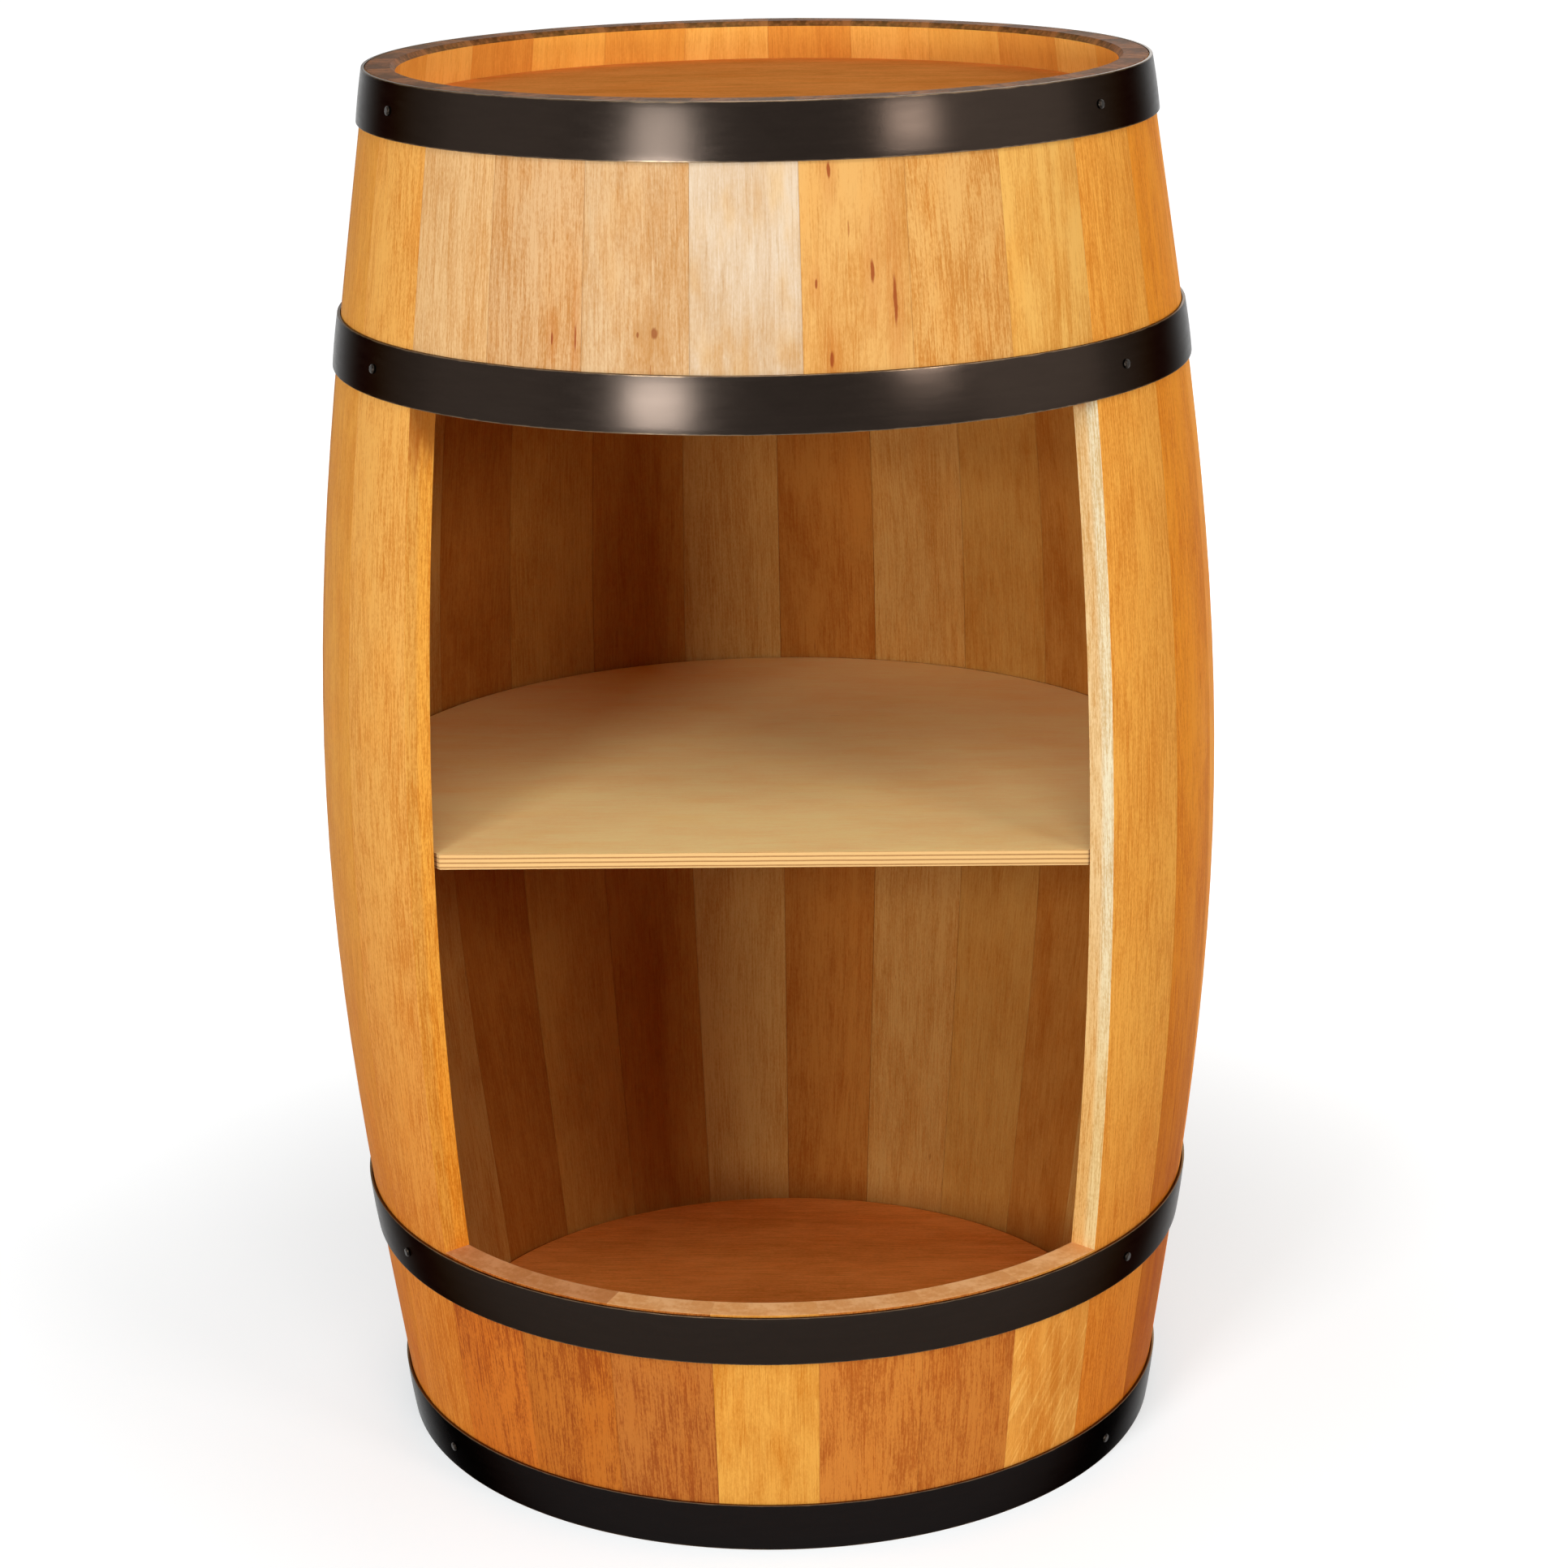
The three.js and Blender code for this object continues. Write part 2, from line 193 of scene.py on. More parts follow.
class BarrelColours(bpy.types.PropertyGroup):
    """The colours of the finishes."""

    seam: colour_property("Seam", "Dirt and glue along the joints", "#5a3418")
    head: colour_property("Head", "Panels closing the barrel", "#f0974a")
    head_dark: colour_property("Head grain", "Dark lines in the panels", "#ca782e")
    shelf: colour_property("Shelf", "Face of the plywood", "#ffe09a")
    shelf_dark: colour_property("Shelf grain", "Dark lines in the plywood's face", "#fccd88")
    ply_light: colour_property("Light plies", "Plies seen along their grain", "#e0b276")
    ply_dark: colour_property("Dark plies", "Plies seen across their grain", "#9c6a3c")
    cleat: colour_property("Cleats", "Blocks under the shelf", "#c99055")
    hoop: colour_property("Hoops", "Dark coated steel", "#302823")
    # The lowest hoop is darker than the rest because less light reaches it: painted shade.
    shaded_foot_hoop: colour_property("Foot hoop", "The lowest hoop, blacker than the rest", "#221e1d")
    # Steel bared along the hoops' edges, and partly a painted highlight line there.
    hoop_wear_and_highlight: colour_property("Hoop wear", "Steel bared along the edges", "#a08466")
    floor: colour_property("Floor", "The ground that the barrel stands on", "#c8cacc")


def sizes():
    return bpy.context.scene.barrel_sizes


def colours():
    return bpy.context.scene.barrel_colours


# Shape of the barrel.
def end_share(height):
    """The share of the way from the belly to the nearer end."""
    reach = HEIGHT - BELLY_HEIGHT if height > BELLY_HEIGHT else BELLY_HEIGHT
    return abs(height - BELLY_HEIGHT) / reach


def outer_radius(height):
    share = end_share(height)
    end = sizes().top_radius if height > BELLY_HEIGHT else sizes().bottom_radius
    bow = (1 - BOW_EASE_SHARE) * share ** 2 + BOW_EASE_SHARE * share ** 4
    return sizes().belly_radius - (sizes().belly_radius - end) * bow


def inner_radius(height):
    return outer_radius(height) - sizes().stave_thickness


def joint_angle_at_ends(joint):
    past_left = max(joint - SIDE_STAVES, 0)
    past_front = max(past_left - FRONT_STAVES, 0)
    left = min(joint, SIDE_STAVES) * SIDE_STAVE_ANGLE
    front = min(past_left, FRONT_STAVES) * FRONT_STAVE_ANGLE
    return -HALF_TURN + left + front + past_front * SIDE_STAVE_ANGLE


def joint_angle(joint, height):
    """Joints are numbered from the back round by the left and the front.

    They lean most beside the opening, and least at the front, the back and the ends.
    """
    angle = joint_angle_at_ends(joint)
    size = abs(angle)
    front_share = size / FRONT_HALF_ANGLE
    side_share = (HALF_TURN - size) / (HALF_TURN - FRONT_HALF_ANGLE)
    belly_share = (1 - end_share(height) ** 2) ** 2
    lean = JOINT_LEAN_ANGLE * min(front_share, side_share) * belly_share
    return angle - math.copysign(lean, angle)


def point_at(angle, radius, height):
    turn = math.radians(angle)
    return Vector((math.sin(turn) * radius, -math.cos(turn) * radius, height))


def mix(low, high, share):
    return low + (high - low) * share


def smooth_step(share):
    held = min(max(share, 0.0), 1.0)
    return held * held * (3 - 2 * held)


# Modelling by hand: one piece is open at a time, and what an operator acts on is selected first.
def close_all():
    if bpy.context.object and bpy.context.object.mode != "OBJECT":
        bpy.ops.object.mode_set(mode="OBJECT")
    bpy.ops.object.select_all(action="DESELECT")


def settle(piece, name):
    """Names a new piece and moves its place, turn and size into its mesh."""
    piece.name = name
    piece.data.name = name
    bpy.ops.object.transform_apply(location=True, rotation=True, scale=True)
    return piece


def add_block(name, low, high):
    close_all()
    low, high = Vector(low), Vector(high)
    bpy.ops.mesh.primitive_cube_add(size=1, location=(low + high) / 2, scale=high - low)
    return settle(bpy.context.object, name)


def add_disc(name, radius, low, high, sides):
    close_all()
    middle = (0, 0, (low + high) / 2)
    bpy.ops.mesh.primitive_cylinder_add(
        vertices=sides, radius=radius, depth=high - low, location=middle,
    )
    return settle(bpy.context.object, name)


def open_piece(piece, kind):
    close_all()
    piece.select_set(True)
    bpy.context.view_layer.objects.active = piece
    bpy.ops.object.mode_set(mode="EDIT")
    bpy.ops.mesh.select_mode(type=kind)


def pick(piece, kind, test):
    """Selects the open piece's vertices, edges or faces that pass the test, and only those."""
    bpy.ops.mesh.select_mode(type=kind)
    bpy.ops.mesh.select_all(action="DESELECT")
    mesh = bmesh.from_edit_mesh(piece.data)
    items = {"VERT": mesh.verts, "EDGE": mesh.edges, "FACE": mesh.faces}[kind]
    items.ensure_lookup_table()
    mesh.normal_update()
    found = [item for item in items if test(item)]
    if not found:
        raise RuntimeError(f"{piece.name}: nothing there to shape")
    for item in found:
        item.select_set(True)
    mesh.select_flush_mode()
    bmesh.update_edit_mesh(piece.data)


def cut_at(points, normal):
    """Cuts the open piece right through at every point, square to the normal."""
    for point in points:
        bpy.ops.mesh.select_all(action="SELECT")
        bpy.ops.mesh.bisect(plane_co=point, plane_no=normal)


def near(a, b):
    return abs(a - b) < NEAR_ENOUGH


def edge_middle(edge):
    return (edge.verts[0].co + edge.verts[1].co) / 2


def along(edge, axis):
    """How much of an edge's way lies along an axis, from 0 to 1."""
    return abs(getattr((edge.verts[1].co - edge.verts[0].co).normalized(), axis))


def at_level(edge, height):
    return near(edge_middle(edge).z, height)


def bevel_picked(offset, segments=ROUND_SEGMENTS):
    bpy.ops.mesh.bevel(offset=offset, offset_type="OFFSET", segments=segments)


def copy_piece(source, name):
    piece = source.copy()
    piece.data = source.data.copy()
    piece.name = name
    piece.data.name = name
    bpy.context.scene.collection.objects.link(piece)
    return piece


def bend_copy(source, name, label, place):
    """A bent copy of a straight piece. It stores where each vertex was, so that the grain follows it."""
    piece = copy_piece(source, name)
    layer = piece.data.attributes.new(label, "FLOAT_VECTOR", "POINT")
    for vertex in piece.data.vertices:
        layer.data[vertex.index].vector = vertex.co
        vertex.co = place(vertex.co)
    piece.data.update()
    return piece


def finish_shape(piece):
    """Merges doubles, points the faces outwards, and shades curves smooth while broad faces stay flat."""
    open_piece(piece, "VERT")
    bpy.ops.mesh.select_all(action="SELECT")
    bpy.ops.mesh.remove_doubles(threshold=MERGE_DISTANCE)
    bpy.ops.mesh.normals_make_consistent(inside=False)
    close_all()
    piece.select_set(True)
    bpy.context.view_layer.objects.active = piece
    bpy.ops.object.shade_smooth_by_angle(angle=SMOOTH_ANGLE)
    bpy.ops.object.modifier_add(type="WEIGHTED_NORMAL")
    piece.modifiers[-1].keep_sharp = True
    bpy.ops.object.modifier_apply(modifier=piece.modifiers[-1].name)
    piece.select_set(False)


def mount(piece, node, material):
    """Finishes a piece's shape and puts it in its CAD node's stead."""
    finish_shape(piece)
    piece.data.materials.clear()
    piece.data.materials.append(material)
    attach(piece, "root")
    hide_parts(node)


# Nodes of the materials.
def add_node(tree, kind, settings=None, inputs=None):
    node = tree.nodes.new(f"ShaderNode{kind}")
    for key, value in (settings or {}).items():
        setattr(node, key, value)
    for key, value in (inputs or {}).items():
        feed(tree, node.inputs[key], value)
    return node


def feed(tree, socket, value):
    if isinstance(value, bpy.types.NodeSocket):
        tree.links.new(value, socket)
    else:
        socket.default_value = value


def calc(tree, operation, first, second=0.0, third=0.0, clamp=False):
    node = add_node(tree, "Math", {"operation": operation, "use_clamp": clamp})
    for socket, value in zip(node.inputs, (first, second, third)):
        feed(tree, socket, value)
    return node.outputs[0]


def blend_colour(tree, share, first, second, kind="MIX"):
    node = add_node(tree, "Mix", {"data_type": "RGBA", "blend_type": kind})
    feed(tree, node.inputs[0], share)
    feed(tree, node.inputs[6], first)
    feed(tree, node.inputs[7], second)
    return node.outputs[2]


def times(tree, first, second):
    return calc(tree, "MULTIPLY", first, second)


def swing(tree, pattern, reach):
    """A pattern's values as a swing about nought."""
    return times(tree, calc(tree, "SUBTRACT", pattern, 0.5), reach)


def distance(tree, across, up):
    squares = [calc(tree, "POWER", way, 2.0) for way in (across, up)]
    return calc(tree, "SQRT", calc(tree, "ADD", *squares))


def tinted(tree, colour, factors):
    return blend_colour(tree, 1.0, colour, (*factors, 1.0), "MULTIPLY")


def join_vectors(tree, operation, first, second):
    return add_node(tree, "VectorMath", {"operation": operation}, {0: first, 1: second}).outputs[0]


def noise(tree, vector, factors, detail=2.0, roughness=0.5):
    """Noise from 0 to 1 that repeats about as often in a metre along each axis as its factors say."""
    return add_node(tree, "TexNoise", inputs={
        "Vector": join_vectors(tree, "MULTIPLY", vector, factors), "Scale": 1.0,
        "Detail": detail, "Roughness": roughness,
    }).outputs["Fac"]


def ramp(tree, value, low, high, start=0.0, end=1.0):
    inputs = {"Value": value, "From Min": low, "From Max": high, "To Min": start, "To Max": end}
    settings = {"interpolation_type": "SMOOTHSTEP"}
    return add_node(tree, "MapRange", settings, inputs).outputs[0]


def fade(tree, value, low, high):
    return ramp(tree, value, low, high, 1.0, 0.0)


def split_vector(tree, vector):
    return add_node(tree, "SeparateXYZ", inputs={"Vector": vector}).outputs


def new_group(name, inputs, outputs):
    tree = bpy.data.node_groups.new(name, "ShaderNodeTree")
    for label, kind, value in inputs:
        socket = tree.interface.new_socket(label, in_out="INPUT", socket_type=f"NodeSocket{kind}")
        socket.default_value = value
    for label, kind in outputs:
        tree.interface.new_socket(label, in_out="OUTPUT", socket_type=f"NodeSocket{kind}")
    return tree, tree.nodes.new("NodeGroupInput").outputs, tree.nodes.new("NodeGroupOutput").inputs


def use_group(tree, name, inputs):
    node = add_node(tree, "Group", {"node_tree": bpy.data.node_groups[name]})
    for key, value in inputs.items():
        feed(tree, node.inputs[key], value)
    return node.outputs


# The grain's patterns: the factors across, through and along the board, the detail and the roughness.
GRAIN_PATTERNS = {
    "fibre": ((950, 950, 45), 3, 0.7),
    "speck": ((1050, 1050, 420), 2, 0.6),
    "strand": ((260, 260, 14), 3, 0.6),
    "line": ((85, 85, 1.6), 4, 0.6),
    "cloud": ((26, 26, 12), 3, 0.55),
    "figure": ((80, 80, 40), 3, 0.6),
    "pore": ((1300, 1300, 45), 2, 0.5),
    "thread": ((560, 560, 16), 2, 0.5),
    "blush": ((36, 36, 15), 3, 0.6),
    "fleck": ((430, 430, 60), 1, 0.4),
}
WANDER_PATTERN = ((9, 9, 2.2), 2)
WANDER_REACH = {"X": 30 * MM, "Y": 18 * MM}
RING_PATTERN = ((15, 15, 2.4), 1, 0.4)
RING_COUNT = 60.0
RING_FRAY = 1.6
RING_SWING = 0.25

# The values between which a pore, a thread, a blush or a fleck comes up.
GRAIN_MARKS = {"pore": (0.60, 0.72), "thread": (0.66, 0.76), "blush": (0.45, 0.70), "fleck": (0.78, 0.83)}

# The patterns that lighten and darken the wood, with the strength that each follows and its reach.
STRENGTHS = ("Fibres", "Lines", "Clouds", "Figure", "Blush", "Flecks")
GRAIN_REACHES = (
    ("fibre", "Fibres", 4.4), ("speck", "Fibres", 2.4), ("strand", "Fibres", 1.1), ("line", "Lines", 0.95),
    ("cloud", "Clouds", 3.4), ("figure", "Clouds", 1.5), ("rings", "Figure", 2.0),
)
MIDDLE_TONE = 0.62
THREAD_LIFT = 0.14
PORE_DROP = 0.16
WARM_TINT = (1.0, 0.84, 0.58)
FLECK_COLOUR = "#9a4f20"

# The strand's share in the roughness and the least roughness, and what gives the surface its relief.
GRAIN_ROUGHNESS = (0.20, 0.46)
FIBRE_RELIEF = 0.5
PORE_RELIEF = -0.6
LINE_RELIEF = 0.4


def build_grain_group():
    """Planed wood: fibres along the board, wandering growth lines, clouds of tone, figure and flecks."""
    tree, given, result = new_group(
        "wood grain",
        [
            ("Board", "Vector", (0, 0, 0)), ("Light", "Color", (0.8, 0.5, 0.2, 1)),
            ("Dark", "Color", (0.5, 0.3, 0.1, 1)), *((name, "Float", 0.5) for name in STRENGTHS),
        ],
        [("Color", "Color"), ("Roughness", "Float"), ("Height", "Float")],
    )
    board = given["Board"]
    wander = noise(tree, board, *WANDER_PATTERN)
    sway = {axis: swing(tree, wander, reach) for axis, reach in WANDER_REACH.items()}
    drawn = join_vectors(tree, "ADD", board, add_node(tree, "CombineXYZ", inputs=sway).outputs[0])
    pattern = {name: noise(tree, drawn, *settings) for name, settings in GRAIN_PATTERNS.items()}
    mark = {name: ramp(tree, pattern[name], *values) for name, values in GRAIN_MARKS.items()}
    contour = times(tree, noise(tree, board, *RING_PATTERN), RING_COUNT)
    rings = calc(tree, "SINE", calc(tree, "MULTIPLY_ADD", pattern["fibre"], RING_FRAY, contour))
    pattern["rings"] = calc(tree, "MULTIPLY_ADD", rings, RING_SWING, 0.5)

    tone = MIDDLE_TONE
    for name, strength, reach in GRAIN_REACHES:
        tone = calc(tree, "MULTIPLY_ADD", swing(tree, pattern[name], reach), given[strength], tone)
    tone = calc(tree, "MULTIPLY_ADD", mark["thread"], THREAD_LIFT, tone)
    tone = calc(tree, "SUBTRACT", tone, times(tree, mark["pore"], PORE_DROP), clamp=True)
    wood = blend_colour(tree, tone, given["Dark"], given["Light"])
    blush = times(tree, mark["blush"], given["Blush"])
    wood = blend_colour(tree, blush, wood, tinted(tree, wood, WARM_TINT))
    fleck = times(tree, mark["fleck"], given["Flecks"])
    feed(tree, result["Color"], blend_colour(tree, fleck, wood, linear(FLECK_COLOUR)))
    feed(tree, result["Roughness"], calc(tree, "MULTIPLY_ADD", pattern["strand"], *GRAIN_ROUGHNESS))
    pits = times(tree, mark["pore"], PORE_RELIEF)
    height = calc(tree, "MULTIPLY_ADD", pattern["fibre"], FIBRE_RELIEF, pits)
    feed(tree, result["Height"], calc(tree, "MULTIPLY_ADD", pattern["line"], LINE_RELIEF, height))


# How ragged a mark's outline is, and where its core and its halo end, in half sizes.
MARK_RAGS = ((320, 320, 120), 2)
MARK_RAGGEDNESS = 1.4
MARK_CORE = (0.55, 1.05)
MARK_HALO = (0.8, 6.0)


def build_mark_group():
    """A dark streak or knot at one place of a board, with a ragged outline."""
    tree, given, result = new_group(
        "wood mark",
        [
            ("Board", "Vector", (0, 0, 0)), ("Across", "Float", 0.0), ("Up", "Float", 0.5),
            ("Half Width", "Float", 0.001), ("Half Height", "Float", 0.01),
        ],
        [("Mask", "Float"), ("Halo", "Float")],
    )
    board = split_vector(tree, given["Board"])
    ragged = swing(tree, noise(tree, given["Board"], *MARK_RAGS), MARK_RAGGEDNESS)
    across = calc(tree, "DIVIDE", calc(tree, "SUBTRACT", board["X"], given["Across"]), given["Half Width"])
    up = calc(tree, "DIVIDE", calc(tree, "SUBTRACT", board["Z"], given["Up"]), given["Half Height"])
    far = distance(tree, calc(tree, "ADD", across, ragged), up)
    feed(tree, result["Mask"], fade(tree, far, *MARK_CORE))
    feed(tree, result["Halo"], fade(tree, far, *MARK_HALO))


# How broken up the wear along an edge is: its pattern, and the shares of the reach that the pattern
# gives and that there is at least.
WEAR_PATTERN = ((140, 140, 60), 3)
WEAR_SHARES = (2.0, 0.05)


def build_edge_group():
    """How near a place on a flat piece is to its long edges and to its ends, broken up by wear."""
    tree, given, result = new_group(
        "edge wear",
        [
            ("Place", "Vector", (0, 0, 0)), ("Half Width", "Float", 0.03), ("Low", "Float", 0.0),
            ("High", "Float", 1.0), ("Reach", "Float", 0.002),
        ],
        [("Sides", "Float"), ("Ends", "Float")],
    )
    place = split_vector(tree, given["Place"])
    worn = noise(tree, given["Place"], *WEAR_PATTERN)
    reach = times(tree, given["Reach"], calc(tree, "MULTIPLY_ADD", worn, *WEAR_SHARES))
    side = calc(tree, "SUBTRACT", given["Half Width"], calc(tree, "ABSOLUTE", place["X"]))
    low = calc(tree, "SUBTRACT", place["Z"], given["Low"])
    high = calc(tree, "SUBTRACT", given["High"], place["Z"])
    for label, gap in (("Sides", side), ("Ends", calc(tree, "MINIMUM", low, high))):
        feed(tree, result[label], fade(tree, calc(tree, "DIVIDE", gap, reach), 0.0, 1.0))


# The steel's patterns, as the grain's, and what they add to the least roughness and to the relief.
STEEL_SPECKS = ((1400, 1400, 1400), 2, 0.6)
STEEL_SCUFFS = ((38, 38, 300), 4, 0.6)
STEEL_WAVES = ((11, 11, 26), 2, 0.4)
STEEL_ROUGHNESS = 0.15
SPECK_ROUGHNESS = 0.06
SCUFF_ROUGHNESS = 0.09
SPECK_RELIEF = 0.05


def build_steel_group():
    """Rolled and coated strip: a fine grain, faint scuffs and shallow waves from the hammer."""
    tree, given, result = new_group(
        "coated steel", [("Strip", "Vector", (0, 0, 0))],
        [("Tone", "Float"), ("Roughness", "Float"), ("Height", "Float")],
    )
    speck = noise(tree, given["Strip"], *STEEL_SPECKS)
    scuff = noise(tree, given["Strip"], *STEEL_SCUFFS)
    wave = noise(tree, given["Strip"], *STEEL_WAVES)
    feed(tree, result["Tone"], calc(tree, "MULTIPLY_ADD", scuff, 0.5, times(tree, speck, 0.5)))
    rough = calc(tree, "MULTIPLY_ADD", speck, SPECK_ROUGHNESS, STEEL_ROUGHNESS)
    feed(tree, result["Roughness"], calc(tree, "MULTIPLY_ADD", scuff, SCUFF_ROUGHNESS, rough))
    feed(tree, result["Height"], calc(tree, "MULTIPLY_ADD", speck, SPECK_RELIEF, wave))


# What the finishes share: the wood's gloss, how dark a darker tone is, and how far the contrast spreads
# the light tone's green and blue, and the dark tone's red, green and blue.
WOOD_GLOSS = 0.02
DARKER_SHARE = 0.6
LIGHT_SPREAD = (0.09, 0.21)
DARK_SPREAD = (0.24, 0.38, 0.57)


def new_material(name):
    material = bpy.data.materials.new(name)
    material.use_nodes = True
    return material, material.node_tree, material.node_tree.nodes["Principled BSDF"]


def flat_place(tree, label):
    return add_node(tree, "Attribute", {"attribute_name": label}).outputs["Vector"]


def object_place(tree):
    return add_node(tree, "TexCoord").outputs["Object"]


def level_share(tree, low, high):
    """0 where a face is steep and 1 where it lies level, as its normal's upward part says."""
    up = split_vector(tree, add_node(tree, "TexCoord").outputs["Normal"])["Z"]
    return ramp(tree, calc(tree, "ABSOLUTE", up), low, high)


def moved(tree, vector, offset, turn=(0, 0, 0)):
    inputs = {"Vector": vector, "Location": offset, "Rotation": turn}
    return add_node(tree, "Mapping", inputs=inputs).outputs[0]


def dress(tree, shader, colour, roughness, height, depth):
    """Gives a finish its colour, its roughness and its relief."""
    tree.links.new(colour, shader.inputs["Base Color"])
    tree.links.new(roughness, shader.inputs["Roughness"])
    bump = add_node(tree, "Bump", inputs={"Height": height, "Distance": depth, "Strength": 1.0})
    tree.links.new(bump.outputs[0], shader.inputs["Normal"])


def dress_wood(tree, shader, colour, grain, depth, gloss=WOOD_GLOSS):
    dress(tree, shader, colour, grain["Roughness"], grain["Height"], depth)
    shader.inputs["Specular IOR Level"].default_value = gloss


def use_grain(tree, place, light, dark, strengths):
    return use_group(tree, "wood grain", {
        "Board": place, "Light": light, "Dark": dark, **dict(zip(STRENGTHS, strengths)),
    })


def darker(colour):
    return tuple(c * DARKER_SHARE for c in colour[:3]) + (1.0,)


def shade(text, red, green, blue):
    """A colour with its linear channels scaled."""
    return tuple(min(c * k, 1.0) for c, k in zip(linear(text), (red, green, blue))) + (1.0,)


def grain_of(tree, place, tone, look):
    """The grain in one tone. Its dark lines are redder, and smoky where the contrast is strong."""
    contrast = look["contrast"]
    green, blue = LIGHT_SPREAD
    light = shade(tone, 1.0, 1 + green * contrast, 1 + blue * contrast)
    red, green, blue = DARK_SPREAD
    dark = shade(tone, 1 - red * contrast, 1 - green * math.sqrt(contrast), 1 - blue / contrast)
    strengths = [look[name.lower()] for name in STRENGTHS]
    return use_grain(tree, moved(tree, place, look["offset"]), light, dark, strengths)


def board_across(stave, angle, height):
    """Where an angle from the front lies across a stave's board."""
    left, right = joint_angle(stave, height), joint_angle(stave + 1, height)
    return ((angle - left) / (right - left) - 0.5) * BOARD_WIDTH


# The marks that single staves bear: a kind, an angle, a height, and half sizes. Each kind has the colours
# of its core and its halo, and the halo's depth.
STREAK = "streak"
KNOT = "knot"
MARK_SHADES = {STREAK: ("#8f3c1a", "#bc6e30", 0.30), KNOT: ("#8e4e28", "#b47d44", 0.50)}
MARK_DEPTH = 0.85


def with_marks(tree, wood, board, marks, stave):
    for kind, angle, height, half_width, half_height in marks:
        core, round_it, halo_depth = MARK_SHADES[kind]
        mark = use_group(tree, "wood mark", {
            "Board": board, "Across": board_across(stave, angle, height), "Up": height,
            "Half Width": half_width, "Half Height": half_height,
        })
        wood = blend_colour(tree, times(tree, mark["Halo"], halo_depth), wood, linear(round_it))
        wood = blend_colour(tree, times(tree, mark["Mask"], MARK_DEPTH), wood, linear(core))
    return wood


# The rays: their lean, their pattern, the values between which they come up, and their tint.
RAY_LEAN = math.radians(-32)
RAY_PATTERN = ((380, 380, 30), 1, 0.4)
RAY_VALUES = (0.57, 0.66)
RAY_TINT = (1.14, 1.38, 1.85)


def with_rays(tree, wood, board, look):
    """Pale rays that run slanting over the board, where the saw followed them."""
    slanted = moved(tree, board, look["offset"], (0, RAY_LEAN, 0))
    ray = ramp(tree, noise(tree, slanted, *RAY_PATTERN), *RAY_VALUES)
    return blend_colour(tree, times(tree, ray, look["rays"]), wood, tinted(tree, wood, RAY_TINT))


# The joint face beside the opening: where its outer tone gives way to the inner one, as shares of the
# thickness, the heights between which it deepens, how far it reaches round the edge, and its stain.
CUT_CHANGE = (0.35, 0.6)
CUT_DEEPENING = (0.20, 0.42)
CUT_EDGE = (0.08 * MM, 0.02 * MM)
STAIN_RAGS = ((260, 260, 50), 3)
STAIN_RAGGEDNESS = 1.3
STAIN_END = (0.4, 1.1)
STAIN_DEPTH = 0.75
STAIN_COLOUR = "#ac5c1e"


def with_cut_face(tree, wood, board, look):
    """The planed joint face beside the opening: a tone of its own, and a stain below the hoop."""
    depth = sizes().stave_thickness
    place = split_vector(tree, board)
    outer = grain_of(tree, board, look["cut_outer"], look)["Color"]
    inner = grain_of(tree, board, look["cut_inner"], look)["Color"]
    change = ramp(tree, place["Y"], *(share * depth for share in CUT_CHANGE))
    planed = blend_colour(tree, change, outer, inner)
    deep = tinted(tree, planed, WARM_TINT)
    planed = blend_colour(tree, fade(tree, place["Z"], *CUT_DEEPENING), planed, deep)
    across = calc(tree, "DIVIDE", calc(tree, "SUBTRACT", place["Y"], depth), look["stain_width"])
    up = calc(tree, "DIVIDE", calc(tree, "SUBTRACT", place["Z"], OPENING_TOP), look["stain_reach"])
    ragged = swing(tree, noise(tree, board, *STAIN_RAGS), STAIN_RAGGEDNESS)
    far = calc(tree, "ADD", distance(tree, across, up), ragged)
    stain = times(tree, fade(tree, far, *STAIN_END), STAIN_DEPTH)
    planed = blend_colour(tree, stain, planed, linear(STAIN_COLOUR))
    edge = [BOARD_WIDTH / 2 - gap for gap in CUT_EDGE]
    return blend_colour(tree, ramp(tree, calc(tree, "ABSOLUTE", place["X"]), *edge), wood, planed)


# Painted light and shade: where the inner face and the rim begin, the painted shade on the inner faces and
# the painted light on the rim above the head, and how the painted shade deepens the full staves towards the
# floor.
INNER_FACE = (2 * MM, 1 * MM)
RIM_BELOW_HEAD = (12 * MM, 5 * MM)
INSIDE_SHADE_TINT = (0.66, 0.60, 0.56)
RIM_LIGHT_TINT = (1.36, 1.46, 1.22)
RIM_LIGHT_COLOUR = "#f2a850"
RIM_LIGHT_SHARE = 0.35
FOOT_SHADE_TINT = (0.92, 0.64, 0.38)
FOOT_HEIGHT = 0.04


def with_painted_light_and_shade(tree, wood, board, high, look):
    """Painted shade inside the barrel and towards the floor, and painted light on the rim above the head."""
    place = split_vector(tree, board)
    depth = sizes().stave_thickness
    inward = ramp(tree, place["Y"], *(depth - gap for gap in INNER_FACE))
    above = ramp(tree, place["Z"], *(HEAD_TOPS["top_head"] - gap for gap in RIM_BELOW_HEAD))
    below = calc(tree, "SUBTRACT", 1.0, above)
    painted_inside_shade = tinted(tree, wood, INSIDE_SHADE_TINT)
    painted_rim_light = blend_colour(tree, RIM_LIGHT_SHARE, tinted(tree, wood, RIM_LIGHT_TINT), linear(RIM_LIGHT_COLOUR))
    # Painted shade: the full staves turn darker and deeper in tone towards the floor, where less light falls.
    if near(high, HEIGHT):
        foot = tinted(tree, wood, [look["foot"] * share for share in FOOT_SHADE_TINT])
        wood = blend_colour(tree, fade(tree, place["Z"], FOOT_HEIGHT, look["deep_from"]), wood, foot)
    # Painted shade on the faces that look into the barrel, below the rim.
    wood = blend_colour(tree, times(tree, inward, below), wood, painted_inside_shade)
    # Painted light on the rim's inner face above the head, which stands in the recess.
    return blend_colour(tree, times(tree, inward, above), wood, painted_rim_light)


